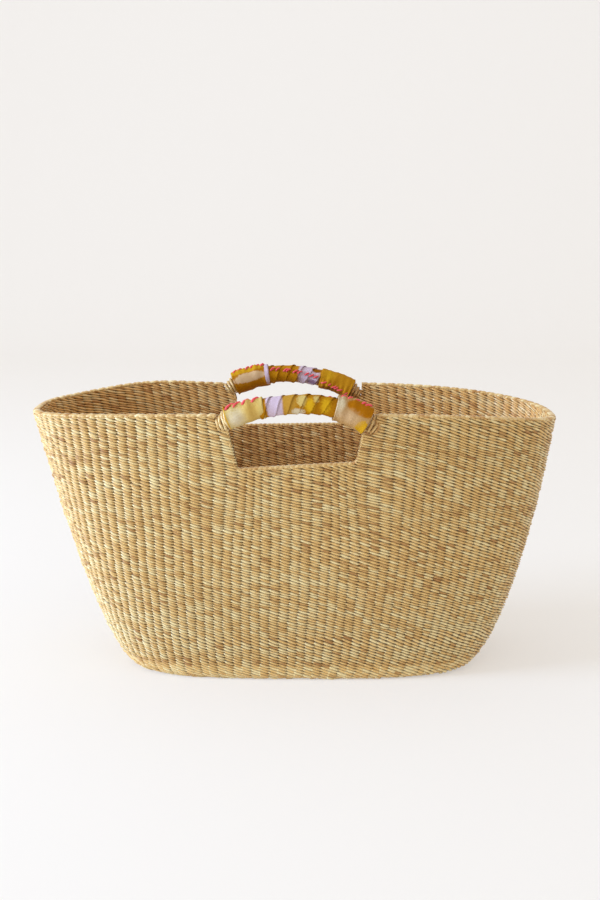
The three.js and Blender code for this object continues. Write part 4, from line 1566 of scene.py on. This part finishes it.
@dataclass
class Borders:
    """The borders that finish the rim and the hand slots."""

    body: BasketBody
    hands: dict[Side, Hand]
    finish: Material
    rim_height: float = 3.6 * MM
    rim_proud: float = 0.15 * MM
    rim_margin: float = 8.5 * MM
    steps_a_stake: int = 12
    sides: int = 16
    scallop_rise: float = 0.9 * MM
    scallop_power: float = 0.7
    scallop_level: float = 0.75
    plait_rise: float = 0.6 * MM
    plait_power: float = 0.6
    plait_level: float = 0.8
    plait_slant: float = 0.6
    nub_rise: float = 1.9 * MM
    nub_width: float = 1.0 * MM
    nub_sizes: Pair = (0.1, 1.1)
    nub_sway: float = 0.2
    nub_turn: float = 0.27
    nub_turn_width: float = 0.1
    nub_shade: float = 0.5
    rim_tone: float = 0.48
    rim_tone_spread: float = 0.16
    edge_width: float = 1.6 * MM
    edge_pitch: float = 2.8 * MM
    edge_rise: float = 0.7 * MM
    edge_power: float = 0.7
    edge_level: float = 0.75
    edge_share: float = 0.35
    edge_tone: float = 0.36
    corner_reach: float = 6 * MM
    corner_step: float = 0.6 * MM
    sill_pitch: float = 4.9 * MM
    sill_margin: float = 3 * MM
    sill_tone: float = 0.46
    tone_waves: tuple[Pair, ...] = ((0.1, 12.9898), (0.08, 3.7))
    seed: int = 40

    def rim(self, end: End) -> None:
        """The rim's border round one end of the basket, scalloped over the ribs, with stake ends.

        Args:
            end: The end of the basket.
        """
        body = self.body
        height = body.rim_height
        front, back = (
            body.share_at(hand.shift + end.value * (hand.root_reach - self.rim_margin), hand.side, height)
            for hand in self.hands.values()
        )
        start, finish = (front - 1.0, back) if end is End.RIGHT else (back, front)
        stakes = (finish - start) * body.stake_count
        share = np.linspace(start, finish, round(stakes * self.steps_a_stake) + 1)
        middle = body.rim_at(share) - self.rim_height / 2
        normal = body.normal(share, middle - body.wall_foot)
        points = body.outer(share, middle) - normal * body.wall_thickness / 2
        rng = np.random.default_rng(self.seed + end.value)
        nubs = rng.uniform(*self.nub_sizes, body.stake_count + 1)
        sway = rng.uniform(-self.nub_sway, self.nub_sway, body.stake_count + 1)
        tones = rng.normal(size=2 * body.stake_count + 2)
        stake = share[:, None] * body.stake_count
        nearest = np.round(stake).astype(int) % body.stake_count
        away = (stake - np.round(stake) - sway[nearest]) / body.stake_count * body.perimeter(height)
        scallop = np.abs(np.sin(math.pi * stake)) ** self.scallop_power
        arch = self.scallop_rise * (scallop - self.scallop_level)

        def nub_at(turn: Array) -> Array:
            """How much of a stake's cut end stands at a turn."""
            from_top = (turn - self.nub_turn) / self.nub_turn_width
            return nubs[nearest] * np.exp(-((away / self.nub_width) ** 2) - from_top**2)

        def relief(run: Array, turn: Array) -> Array:
            """An arch over each rib, two slanted strands in it, and the stakes' cut ends."""
            plait = np.abs(np.sin(FULL_TURN * (stake + self.plait_slant * turn))) ** self.plait_power
            return arch + self.plait_rise * (plait - self.plait_level) + self.nub_rise * nub_at(turn)

        def tone(run: Array, turn: Array) -> Array:
            """A tone that changes from strand to strand, dark on the stakes' cut ends."""
            number = np.floor(2 * (stake + self.plait_slant * turn)).astype(int) % len(tones)
            return self.rim_tone + self.rim_tone_spread * tones[number] - self.nub_shade * nub_at(turn)

        width = body.wall_thickness + 2 * self.rim_proud
        tube = Tube(points, normal, self.sides, width, self.rim_height, relief)
        piece = mesh_piece(f"rim_{end.name.lower()}", tube.build(tone), self.finish)
        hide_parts(f"rim_border_{end.name.lower()}")

    def slot_edge(self, hand: Hand) -> None:
        """The edge round one hand slot: down a jamb, along the sill and up the other jamb.

        Args:
            hand: The slot.
        """
        body = self.body
        inset = self.edge_width
        half_sill = hand.slot_sill_width / 2
        corners = []
        for end in End:
            top = float(hand.height(end.value * (half_sill + inset))) - hand.core_radius
            jamb = (float(hand.jamb_place(end, top)) + end.value * inset, top)
            sill = float(hand.sill_height(end.value * half_sill))
            foot = (end.value * (half_sill + inset), sill - inset)
            corners += [jamb, foot] if end is End.LEFT else [foot, jamb]
        flat = rounded_path(corners, self.corner_reach, self.corner_step)
        place, z = flat[:, 0], flat[:, 1]
        x = hand.shift + place
        depth = body.face_depth(x, z) - body.wall_thickness / 2
        sign = hand.side.value
        points = np.stack([x, sign * depth, z], axis=1)
        step = body.slope_step
        slope_x = (body.face_depth(x + step, z) - body.face_depth(x - step, z)) / (2 * step)
        slope_z = (body.face_depth(x, z + step) - body.face_depth(x, z - step)) / (2 * step)
        normal = unit(np.stack([-slope_x, np.full(len(x), sign), -slope_z], axis=1))
        on_sill = (np.abs(place) < half_sill - self.sill_margin)[:, None]
        level = np.where(on_sill, self.sill_tone, self.edge_tone)

        def strand_at(run: Array, turn: Array) -> Array:
            """The strand that lies at a place: a row at a jamb, or a slanted one on the sill."""
            return np.where(on_sill, run / self.sill_pitch + turn, run / self.edge_pitch)

        def relief(run: Array, turn: Array) -> Array:
            """Rows that turn back smoothly at the jambs, and slanted strands along the sill."""
            strands = np.where(on_sill, 1.0, self.edge_share) * np.abs(np.sin(math.pi * strand_at(run, turn)))
            return self.edge_rise * (strands**self.edge_power - self.edge_level)

        def tone(run: Array, turn: Array) -> Array:
            """A tone that changes from strand to strand."""
            number = np.floor(strand_at(run, turn))
            return level + sum(spread * np.sin(number * rate) for spread, rate in self.tone_waves)

        width = body.wall_thickness + 2 * self.rim_proud
        tube = Tube(points, normal, self.sides, width, 2 * self.edge_width, relief)
        piece = mesh_piece(f"slot_edge_{hand.label}", tube.build(tone), self.finish)
        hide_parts(f"slot_sill_{hand.label}")


def rounded_path(corners: Sequence[Pair], radius: float, step: float) -> Array:
    """A flat path with straight runs and round corners.

    Args:
        corners: The path's ends and corners.
        radius: How far from a corner its bend starts.
        step: The distance between points.

    Returns:
        Points (n, 2), an even step apart.
    """
    corner = np.array(corners)
    dense = [corner[0]]
    for before, at, after in zip(corner[:-2], corner[1:-1], corner[2:]):
        start = at + unit(before - at) * radius
        end = at + unit(after - at) * radius
        part = np.linspace(0, 1, BEND_STEPS)[:, None]
        dense.extend((1 - part) ** 2 * start + 2 * part * (1 - part) * at + part**2 * end)
    dense.append(corner[-1])
    line = np.array(dense)
    run = np.concatenate([[0.0], np.cumsum(np.linalg.norm(np.diff(line, axis=0), axis=1))])
    even = np.linspace(0, run[-1], max(round(run[-1] / step), 2))
    return np.stack([np.interp(even, run, line[:, 0]), np.interp(even, run, line[:, 1])], axis=1)


@dataclass(frozen=True)
class Seam:
    """One whip-stitched seam: the turns at which it starts and ends, and the size of its stitches."""

    turns: Pair
    width: float
    pitch: float
    thread: float
    stray: float = 0.16
    slant: float = 0.38
    slant_spread: float = 0.07
    thread_spread: float = 0.1
    height: float = 0.9 * MM
    arch: float = 0.75 * MM
    roundness: float = 0.7
    plunge: int = 6


@dataclass(frozen=True)
class CuffCloth:
    """How the cloth of a cuff puckers, creases and turns in."""

    seed: int = 70
    rings: int = 44
    sides: int = 96
    overlap: float = 1.0 * MM
    lining: float = 2.2
    lining_stride: int = 4
    lips: tuple[float, ...] = (-0.35 * MM, 0.25 * MM, 0.5 * MM, -0.1 * MM)
    pucker_rise: float = 0.5 * MM
    pucker_width: float = 0.07
    ridge_rise: float = 1.1 * MM
    ridge_shift: float = 0.01
    ridge_width: float = 0.035
    crease_rise: float = 0.45 * MM
    crease_length: float = 16 * MM
    crease_stretch: float = 1.6
    crease_turn: float = 8 * MM
    flat_rise: float = 0.35 * MM
    corner_rise: float = 0.2 * MM
    corner_phase: float = 1.0


@dataclass(frozen=True)
class StripCloth:
    """How the strips of a wrap overlap and crease."""

    seed: int = 81
    columns: int = 16
    lining_start: int = 4
    lining_stride: int = 3
    turn_steps: int = 60
    tuck: float = 4 * MM
    overlap_share: float = 1.45
    middle_share: float = 0.6
    fold_power: float = 1.3
    lip_rise: float = 0.35 * MM
    lip_share: float = 0.95
    lip_width_share: float = 0.05
    crease_rise: float = 0.28 * MM
    crease_length: float = 12 * MM
    crease_width: float = 16 * MM
    crease_run: float = 18.2 * MM
    crease_shift: float = 10.85 * MM


CUFF_CLOTH = CuffCloth()
STRIP_CLOTH = StripCloth()


@dataclass
class Handle:
    """One arched handle: its grass rope, root strands, wound cloth, cuffs and whip stitches."""

    hand: Hand
    cloths: dict[str, Material]
    seams: dict[str, Seam]
    lashing: Material
    rope: Material
    thread: Material
    wrap_radius: float = 8.3 * MM
    fold_depth: float = 1.0 * MM
    fold_pitch: float = 11 * MM
    fold_starts: int = 2
    cloth_thickness: float = 0.45 * MM
    seam_margin: float = 1.5 * MM
    middle_seam_margin: float = 2 * MM
    coil_strand: float = 2.5 * MM
    coil_pitch: float = 2.7 * MM
    coil_reach: float = 9 * MM
    coil_start: float = 2.5 * MM
    coil_gap: float = 0.1 * MM
    coil_taper: float = 3.0 * MM
    coil_slide: float = 0.35 * MM
    coil_swell: float = 0.3 * MM
    coil_sag: float = 2.2 * MM
    coil_sag_end: float = 0.8
    coil_taper_start: float = 0.25
    coil_turn: float = 0.75
    coil_seed: int = 60
    coil_steps: int = 26
    coil_knots: int = 30
    rope_reach: float = 10 * MM
    rope_plies: int = 3
    rope_steps: int = 240
    rope_sides: int = 24
    rope_lay: float = 45 * MM
    rope_relief: float = 0.6 * MM
    rope_taper: float = 3.4 * MM
    rope_tone: float = 0.45
    rope_tone_rate: float = 700.0
    rope_tone_turns: float = 9.0
    ply_relief: float = 0.16
    ply_level: float = 0.75
    ply_lay: float = 3.2
    ply_tone: float = 0.14
    tone_spread: float = 0.1
    strand_sides: int = 10
    strand_tone_rate: float = 130.0
    steep_limit: float = 0.7
    stitch_steps: int = 11
    stitch_seed: int = 90
    seed_scale: float = 1e5

    @property
    def label(self) -> str:
        """The handle's side as a word."""
        return self.hand.label

    def build_rope(self) -> None:
        """The three-ply grass rope inside the handle."""
        low, high = (end.value * (self.hand.cuffs[end].end + self.rope_reach) for end in End)
        place = np.linspace(low, high, self.rope_steps)
        _, _, outward = self.hand.axes(place)

        def relief(run: Array, turn: Array) -> Array:
            """Three plies laid round each other, drawn in where they enter the wall.

            Args:
                run: The distance along the rope.
                turn: The turn round it.

            Returns:
                The rise.
            """
            plies = np.abs(np.cos(self.rope_plies / 2 * FULL_TURN * (turn + run / self.rope_lay))) - 1.0
            inside = smooth_step(0.0, 1.0, np.minimum(run, run.max() - run) / self.rope_reach)
            return self.rope_relief * plies - self.rope_taper * (1 - inside)

        def tone(run: Array, turn: Array) -> Array:
            """A tone that drifts along the plies."""
            drift = np.sin(run * self.rope_tone_rate + turn * self.rope_tone_turns)
            return self.rope_tone + self.tone_spread * drift

        width = 2 * self.hand.core_radius
        tube = Tube(self.hand.point(place), outward, self.rope_sides, width, width, relief)
        piece = mesh_piece(f"rope_{self.label}", tube.build(tone), self.rope)
        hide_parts(f"handle_core_{self.label}")

    def build_root(self, end: End) -> None:
        """The strand coiled round one root, from inside the cuff's mouth to under the rim.

        Args:
            end: The end of the handle.
        """
        hand = self.hand
        rng = np.random.default_rng(self.coil_seed + 3 * end.value + hand.side.value)
        start = hand.cuffs[end].end - self.coil_start
        finish = hand.cuffs[end].end + self.coil_reach
        turns = (finish - start) / self.coil_pitch
        spots = np.linspace(0, 1, round(turns * self.coil_steps))
        drawn_in = self.coil_taper * smooth_step(self.coil_taper_start, 1.0, spots)
        radius = hand.core_radius + self.coil_strand / 2 + self.coil_gap - drawn_in
        knots = np.linspace(0, 1, self.coil_knots)
        slide = self.coil_slide * np.interp(spots, knots, rng.normal(size=self.coil_knots))
        swell = self.coil_swell * np.abs(np.interp(spots, knots, rng.normal(size=self.coil_knots)))
        place = end.value * (start + (finish - start) * spots + slide)
        points = hand.around(place, self.coil_turn + turns * (1 - spots), radius + swell)
        points[:, 2] -= self.coil_sag * smooth_step(0.0, self.coil_sag_end, spots)
        level = LIT_STRAND_TONE if end is End.LEFT else SHADED_STRAND_TONE
        part = self.strand_tube(points, self.coil_strand, level)
        piece = mesh_piece(f"root_strands_{self.label}_{end.name.lower()}", part, self.lashing)
        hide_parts(f"root_lashing_{self.label}_{end.name.lower()}")

    def strand_tube(self, points: Array, diameter: float, level: float = LIT_STRAND_TONE) -> Arrays:
        """A two-ply twisted strand.

        Args:
            points: The middle of the strand.
            diameter: How thick it is.
            level: Its tone.

        Returns:
            The tube's arrays.
        """
        along = unit(np.gradient(points, axis=0))
        upright, sideways = np.array([0.0, 0.0, 1.0]), np.array([1.0, 0.0, 0.0])
        across = np.empty_like(points)
        before = upright if abs(along[0, 2]) < self.steep_limit else sideways
        for i in range(len(points)):
            before = unit(before - along[i] * np.dot(before, along[i]))
            across[i] = before
        lay = self.ply_lay * diameter

        def relief(run: Array, turn: Array) -> Array:
            """Two plies laid round each other."""
            plies = np.abs(np.cos(FULL_TURN * (turn + run / lay)))
            return self.ply_relief * diameter * (plies - self.ply_level)

        def tone(run: Array, turn: Array) -> Array:
            """Each ply has its own tone."""
            plies = self.ply_tone * np.cos(FULL_TURN * (turn + run / lay))
            return level + plies + self.tone_spread * np.sin(run * self.strand_tone_rate)

        return Tube(points, across, self.strand_sides, diameter, diameter, relief).build(tone)

    def build_cuff(self, end: End) -> None:
        """The stitched cuff over one end of the handle, with its edges turned in.

        Args:
            end: The end of the handle.
        """
        hand, style = self.hand, CUFF_CLOTH
        name = end.name.lower()
        sewn = self.seams[name]
        seam = sum(sewn.turns) / 2
        cuff = hand.cuffs[end]
        folds = Ripple(style.seed + 5 * end.value + hand.side.value, style.crease_length)
        count, sides = style.rings, style.sides
        reach = np.linspace(cuff.start - style.overlap, cuff.end, count)
        inward = reach[:: -style.lining_stride]
        profile = np.concatenate([reach, inward])[:, None]
        lining = np.full(len(inward), style.lining * self.cloth_thickness)
        depth = np.concatenate([np.zeros(count), lining])
        curl = np.zeros(len(profile))
        curl[[0, 1, count - 2, count - 1]] = style.lips
        turn = (np.arange(sides) / sides - 0.25)[None, :]
        from_seam = (turn - seam + 0.5) % 1.0 - 0.5
        pucker = np.exp(-((from_seam / style.pucker_width) ** 2)) * np.cos(FULL_TURN * profile / sewn.pitch)
        ridge = np.exp(-(((from_seam - style.ridge_shift) / style.ridge_width) ** 2))
        soft = folds.at(profile * style.crease_stretch, np.sin(turn * FULL_TURN) * style.crease_turn)
        radius = cuff.radius_at(profile) + style.pucker_rise * pucker + style.ridge_rise * ridge
        radius = radius + style.crease_rise * soft + style.flat_rise * np.cos(2 * FULL_TURN * (turn - seam))
        corners = style.corner_rise * np.cos(3 * FULL_TURN * turn + style.corner_phase)
        radius = radius + corners + (curl - depth)[:, None]
        place, turn = np.broadcast_arrays(end.value * profile, turn)
        points = hand.around(place, turn, radius).reshape(-1, 3)
        rows = len(profile)
        faces = grid_faces(rows + 1, sides, True) % (rows * sides)
        if end.value * hand.side.value > 0:
            faces = faces[:, ::-1]
        cloth = np.stack([place.ravel(), turn.ravel()], axis=1)
        part = {"points": points, "faces": faces, "map": grid_map(rows, sides), "cloth": cloth}
        piece = mesh_piece(f"cuff_{self.label}_{name}", part, self.cloths[name])
        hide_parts(f"handle_cuff_{self.label}_{end.name.lower()}")

    def build_wrap(self) -> None:
        """The strips of cloth wound side by side round the middle, each turn over the one before."""
        hand, style = self.hand, STRIP_CLOTH
        low = -hand.cuffs[End.LEFT].start - style.tuck
        high = hand.cuffs[End.RIGHT].start + style.tuck
        lead = self.fold_pitch * self.fold_starts
        width = style.overlap_share * self.fold_pitch
        over = np.linspace(0, 1, style.columns)
        under = over[-style.lining_start : 0 : -style.lining_stride]
        across = np.concatenate([over, under])[None, :]
        is_under = np.arange(across.size)[None, :] >= over.size
        crease = Ripple(style.seed + hand.side.value, style.crease_length)
        steps = round((high - low) / lead * style.turn_steps) + 2 * style.turn_steps
        spots = np.linspace(low / lead - 1, high / lead + 1, steps)[:, None]
        strips = []
        for strip in range(self.fold_starts):
            asked = (spots + strip / self.fold_starts) * lead + (across - style.middle_share) * width
            place = np.clip(asked, low, high)
            turn = np.broadcast_to(-hand.side.value * spots, place.shape)
            run = spots * style.crease_run + strip * style.crease_shift
            lip = np.exp(-(((across - style.lip_share) / style.lip_width_share) ** 2))
            rise = self.fold_depth * across**style.fold_power + style.lip_rise * lip
            rise = rise + style.crease_rise * crease.at(run, across * style.crease_width) * across
            rise = rise - np.where(is_under, self.cloth_thickness, 0.0)
            rows, columns = place.shape
            shown = (asked.min(axis=1) < high) & (asked.max(axis=1) > low)
            faces = grid_faces(rows, columns, True)
            faces = faces[shown[faces[:, 0] // columns] & shown[faces[:, 2] // columns]]
            points = hand.around(place, turn, self.wrap_radius + rise).reshape(-1, 3)
            cloth = np.stack([place.ravel(), ((turn + 0.25) % 1.0 - 0.25).ravel()], axis=1)
            layout = grid_map(rows, columns)
            strips.append({"points": points, "faces": faces, "map": layout, "cloth": cloth})
        piece = mesh_piece(f"wrap_{self.label}", joined(strips, MAP_FILL), self.cloths["wrap"])
        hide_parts(f"handle_wrap_{self.label}")

    def build_stitches(self, part_name: str, reach: Pair, radius_at: Callable[[Array], Array]) -> None:
        """Whip stitches along one seam.

        Args:
            part_name: Which seam of the handle it is.
            reach: Where the seam starts and ends along the handle.
            radius_at: The cloth's radius at a place.
        """
        sewn = self.seams[part_name]
        start, finish = reach
        seed = self.stitch_seed + round(abs(start) * self.seed_scale)
        rng = np.random.default_rng(seed + self.hand.side.value)
        count = max(round(abs(finish - start) / sewn.pitch), 1)
        spots = np.linspace(-1, 1, self.stitch_steps)
        parts = []
        for i in range(count):
            part = (i + 0.5 + sewn.stray * rng.normal()) / count
            middle = start + (finish - start) * part
            seam = sewn.turns[0] + (sewn.turns[1] - sewn.turns[0]) * part
            slant = sewn.pitch * (sewn.slant + sewn.slant_spread * rng.normal()) * -self.hand.side.value
            radius = radius_at(np.array(middle)) + sewn.height
            swing = sewn.width / 2 / radius / FULL_TURN
            lift = radius + sewn.arch * (1 - spots**2) ** sewn.roundness
            lift = lift - sewn.height * np.abs(spots) ** sewn.plunge
            points = self.hand.around(middle + slant * spots, seam + swing * spots, lift)
            thread = sewn.thread * (1 + sewn.thread_spread * rng.normal())
            parts.append(self.strand_tube(points, thread))
        piece = mesh_piece(f"stitches_{self.label}_{part_name}", joined(parts), self.thread)
        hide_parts(f"seam_thread_{self.label}_{part_name}")

    def build(self) -> None:
        """Makes and dresses every piece of the handle."""
        self.build_rope()
        self.build_wrap()
        for end in End:
            cuff = self.hand.cuffs[end]
            margin = self.seam_margin
            reach = (end.value * (cuff.start + margin), end.value * (cuff.end - margin))
            self.build_root(end)
            self.build_cuff(end)
            self.build_stitches(end.name.lower(), reach, cuff.radius_at)
        margin = self.middle_seam_margin
        reach = (margin - self.hand.cuffs[End.LEFT].start, self.hand.cuffs[End.RIGHT].start - margin)
        radius = self.wrap_radius + self.fold_depth
        self.build_stitches("middle", reach, lambda place: radius)


@dataclass(frozen=True)
class Studio:
    """The plain floor, the soft light and the camera that stands where the photographer stood."""

    camera_place: Triple = (19.4 * MM, -1224.7 * MM, 456.4 * MM)
    camera_yaw: float = -0.0183
    camera_pitch: float = 0.1999
    camera_roll: float = -0.0043
    focal_pixels: float = 1250.0
    frame_height_pixels: float = 900.0
    principal_x_pixels: float = 298.4
    middle_x_pixels: float = 300.0
    sensor: float = 36.0
    floor_colour: Colour = (248, 244, 240)
    paper_colour: Colour = (244, 240, 235)
    flat_share: float = 0.5
    sky_colour: tuple[float, float, float, float] = (1.0, 0.985, 0.96, 1.0)
    sky_level: float = 0.84
    far_clip: float = 50.0
    floor_front: float = -6.0
    floor_near: float = -2.0
    floor_back: float = 2.4
    floor_half_width: float = 7.0
    floor_steps: int = 12
    floor_columns: int = 15
    sweep_radius: float = 1.6
    sweep_steps: int = 24
    backdrop_top: float = 6.0
    paper_roughness: float = 0.9
    paper_gloss: float = 0.1
    window_place: Triple = (-2.5, -0.55, 0.9)
    window_aim: Triple = (0.0, 0.0, 0.12)
    window_colour: Triple = (0.78, 1.0, 1.36)
    window_size: float = 1.0
    window_power: float = 66.0

    def build_camera(self) -> None:
        """The camera at the photograph's place, angle and framing."""
        tipped = Matrix.Rotation(math.pi / 2 - self.camera_pitch, 4, "X")
        turned = Matrix.Rotation(-self.camera_yaw, 4, "Z") @ tipped
        rolled = turned @ Matrix.Rotation(self.camera_roll, 4, "Z")
        data = bpy.data.cameras.new("camera")
        data.sensor_width = self.sensor
        data.lens = self.sensor * self.focal_pixels / self.frame_height_pixels
        data.shift_x = (self.middle_x_pixels - self.principal_x_pixels) / self.frame_height_pixels
        data.clip_end = self.far_clip
        camera = bpy.data.objects.new("camera", data)
        camera.matrix_world = Matrix.Translation(self.camera_place) @ rolled
        bpy.context.scene.collection.objects.link(camera)
        bpy.context.scene.camera = camera

    def build_floor(self) -> None:
        """A pale sweep: a flat floor that curves up into a backdrop."""
        arc = np.linspace(0, math.pi / 2, self.sweep_steps)
        flat = [self.floor_front, *np.linspace(self.floor_near, self.floor_back, self.floor_steps)]
        sweep = self.floor_back + self.sweep_radius * np.sin(arc)
        run = [*flat, *sweep, self.floor_back + self.sweep_radius]
        height = [*np.zeros(len(flat)), *(self.sweep_radius * (1 - np.cos(arc))), self.backdrop_top]
        across = np.linspace(-self.floor_half_width, self.floor_half_width, self.floor_columns)
        points = [(x, y, z) for y, z in zip(run, height) for x in across]
        constants = {
            "Base Color": linear(self.paper_colour),
            "Roughness": self.paper_roughness,
            "Specular IOR Level": self.paper_gloss,
        }
        material, tree, shader = new_material("pale_paper", constants)
        rays = tree.add("ShaderNodeLightPath").outputs
        direct = tree.math("MAXIMUM", rays["Is Camera Ray"], rays["Is Glossy Ray"])
        direct = tree.math("MAXIMUM", direct, rays["Is Transmission Ray"])
        glow = tree.add("ShaderNodeEmission", {"Color": linear(self.floor_colour), "Strength": 1.0})
        share = tree.math("MULTIPLY", direct, self.flat_share)
        mixed = tree.add("ShaderNodeMixShader", {0: share, 1: shader.outputs[0], 2: glow.outputs[0]})
        surface = next(node for node in tree.tree.nodes if node.type == "OUTPUT_MATERIAL")
        tree.link(mixed.outputs[0], surface.inputs["Surface"])
        mesh = bpy.data.meshes.new("studio_floor")
        mesh.from_pydata(points, [], grid_faces(len(run), len(across), False).tolist())
        mesh.shade_smooth()
        mesh.materials.append(material)
        floor = bpy.data.objects.new("studio_floor", mesh)
        bpy.context.scene.collection.objects.link(floor)

    def build_light(self) -> None:
        """The window on the far left and an even sky."""
        data = bpy.data.lights.new("window", "AREA")
        data.shape = "SQUARE"
        data.size = self.window_size
        data.energy = self.window_power
        data.color = self.window_colour
        window = bpy.data.objects.new("window", data)
        window.location = self.window_place
        towards = Vector(self.window_aim) - Vector(self.window_place)
        window.rotation_euler = towards.to_track_quat("-Z", "Y").to_euler()
        bpy.context.scene.collection.objects.link(window)
        world = bpy.data.worlds.new("studio")
        world.use_nodes = True
        background = world.node_tree.nodes["Background"]
        background.inputs["Color"].default_value = self.sky_colour
        background.inputs["Strength"].default_value = self.sky_level
        bpy.context.scene.world = world

    def build(self) -> None:
        """Makes the whole studio."""
        bpy.context.scene.view_settings.view_transform = "Standard"
        self.build_camera()
        self.build_floor()
        self.build_light()


MUSTARD = (178, 118, 4)
GOLD = (204, 152, 24)
PAINTED_FOLD_HIGHLIGHT = (214, 164, 22)
TAN = (194, 144, 50)
CREAM = (212, 184, 108)
PALE = (220, 202, 166)
PEACH = (190, 148, 92)
ORANGE = (180, 112, 0)
LILAC = (212, 190, 206)
PURPLE = (146, 116, 140)
OCHRE = (150, 90, 2)


def cloth_finishes(side: Side) -> dict[str, ClothFinish]:
    """The cloths of one handle.

    Args:
        side: The handle's side.

    Returns:
        The cloths by part: left, wrap and right.
    """
    if side is Side.FRONT:
        left = (
            DyeAndHighlightPatch(PALE, (-54, -0.03), (7, 0.14), 1.2, 0.9),
            DyeAndHighlightPatch((206, 166, 84), (-39, 0.04), (6, 0.22), 1.2, 0.9),
            DyeAndHighlightPatch(OCHRE, (-60, 0.21), (5, 0.06)),
            DyeAndHighlightPatch(GOLD, (-63, 0.0), (1.5, 0.3), 0.2),
        )
        wrap = (
            DyeAndHighlightPatch(LILAC, (-18.5, 0.05), (7.5, 0.6), 0.4),
            DyeAndHighlightPatch(TAN, (-5.5, 0.0), (6, 0.5), softness=0.3),
            DyeAndHighlightPatch(CREAM, (6, 0.1), (4.4, 0.11), 1.8, 0.35),
            DyeAndHighlightPatch(PALE, (2, -0.12), (6, 0.07), 1.6, 0.35),
            DyeAndHighlightPatch(CREAM, (18, 0.12), (2.4, 0.07), 1.8, 0.5),
            # Painted highlights: two soft yellow patches on the wrap's folds.
            DyeAndHighlightPatch(PAINTED_FOLD_HIGHLIGHT, (13, 0.0), (4, 0.12), 1.6, 0.5),
            DyeAndHighlightPatch(PAINTED_FOLD_HIGHLIGHT, (27, 0.03), (4, 0.14), 1.6, 0.5),
        )
        right = (
            DyeAndHighlightPatch(ORANGE, (56, 0.13), (12, 0.1), 0.4),
            DyeAndHighlightPatch(GOLD, (62, -0.1), (5, 0.1)),
            # Painted highlight: a pale patch on the folds at the cuff's inner end.
            DyeAndHighlightPatch(PALE, (39.0, 0.08), (3.6, 0.13), 1.4, 0.5),
            DyeAndHighlightPatch((206, 168, 122), (48, -0.03), (9, 0.08), 1.2, 0.8),
        )
        grounds = (CREAM, MUSTARD, PEACH)
    else:
        left = (
            DyeAndHighlightPatch((214, 178, 134), (-45, 0.45), (17, 0.075), 0.5),
            DyeAndHighlightPatch(GOLD, (-48, 0.31), (18, 0.06), 0.4),
            DyeAndHighlightPatch(LILAC, (-27, 0.45), (2.5, 0.2)),
        )
        wrap = (
            DyeAndHighlightPatch(LILAC, (17, 0.5), (11, 0.5), 0.4),
            DyeAndHighlightPatch(PURPLE, (22, 0.6), (6, 0.05), softness=0.4),
            DyeAndHighlightPatch(OCHRE, (24, 0.34), (4.5, 0.06)),
        )
        right = (
            DyeAndHighlightPatch(OCHRE, (46, 0.64), (16, 0.07)),
            DyeAndHighlightPatch(GOLD, (37, 0.38), (5, 0.1), softness=0.4),
        )
        grounds = ((180, 116, 6), (190, 128, 8), (192, 134, 20))
    name = side.name.lower()
    return {
        "left": ClothFinish(f"cloth_{name}_left", grounds[0], left),
        "wrap": ClothFinish(f"cloth_{name}_wrap", grounds[1], wrap),
        "right": ClothFinish(f"cloth_{name}_right", grounds[2], right),
    }


SEAMS: dict[Side, dict[str, Seam]] = {
    Side.FRONT: {
        "left": Seam((0.22, 0.2), 5.2 * MM, 7.0 * MM, 2.3 * MM),
        "middle": Seam((0.52, 0.38), 3.2 * MM, 6.0 * MM, 1.9 * MM),
        "right": Seam((0.25, 0.215), 4.2 * MM, 5.0 * MM, 2.0 * MM),
    },
    Side.BACK: {
        "left": Seam((0.28, 0.29), 4.4 * MM, 5.4 * MM, 1.9 * MM),
        "middle": Seam((0.38, 0.49), 2.6 * MM, 5.6 * MM, 1.8 * MM),
        "right": Seam((0.53, 0.575), 2.4 * MM, 4.8 * MM, 1.7 * MM),
    },
}


def dress_hidden_stakes(material: Material) -> None:
    """Gives the stakes inside the wall their straw finish.

    Args:
        material: The grass.
    """
    for quarter in Quarter:
        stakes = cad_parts[f"stakes_{quarter.name.lower()}"]
        stakes.data.materials.clear()
        stakes.data.materials.append(material)


def main() -> None:
    """Builds the basket and its studio, and reports each piece."""
    logging.basicConfig(level=logging.INFO, format="%(message)s")
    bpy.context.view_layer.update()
    effects = Effects()
    body = BasketBody()
    hands = both_hands(body)
    outside = GrassFinish("grass_outside")
    # Painted light: the inside copy is warmer, with lighter shade, for the light bounced round inside.
    inside = replace(
        outside,
        name="grass_inside",
        pale=(242, 212, 150),
        straw=(236, 184, 104),
        dark=(184, 126, 56),
        hollow=(104, 54, 8),
    )
    rim = replace(outside, name="grass_rim", pale=(244, 222, 168), straw=(214, 176, 108))
    core = replace(outside, name="grass_stakes", pale=(214, 190, 140), straw=(184, 150, 98))
    skins = {Face.OUTSIDE: outside.build(effects), Face.INSIDE: inside.build(effects)}
    border, stake = rim.build(effects), core.build(effects)
    WovenWall(body, hands, skins).build()
    BaseMat(body, skins).build()
    borders = Borders(body, hands, border)
    for end in End:
        borders.rim(end)
    thread = ThreadFinish().build()
    for side, hand in hands.items():
        borders.slot_edge(hand)
        cloths = {label: finish.build(effects) for label, finish in cloth_finishes(side).items()}
        Handle(hand, cloths, SEAMS[side], border, stake, thread).build()
    dress_hidden_stakes(stake)
    Studio().build()


if __name__ == "__main__":
    main()
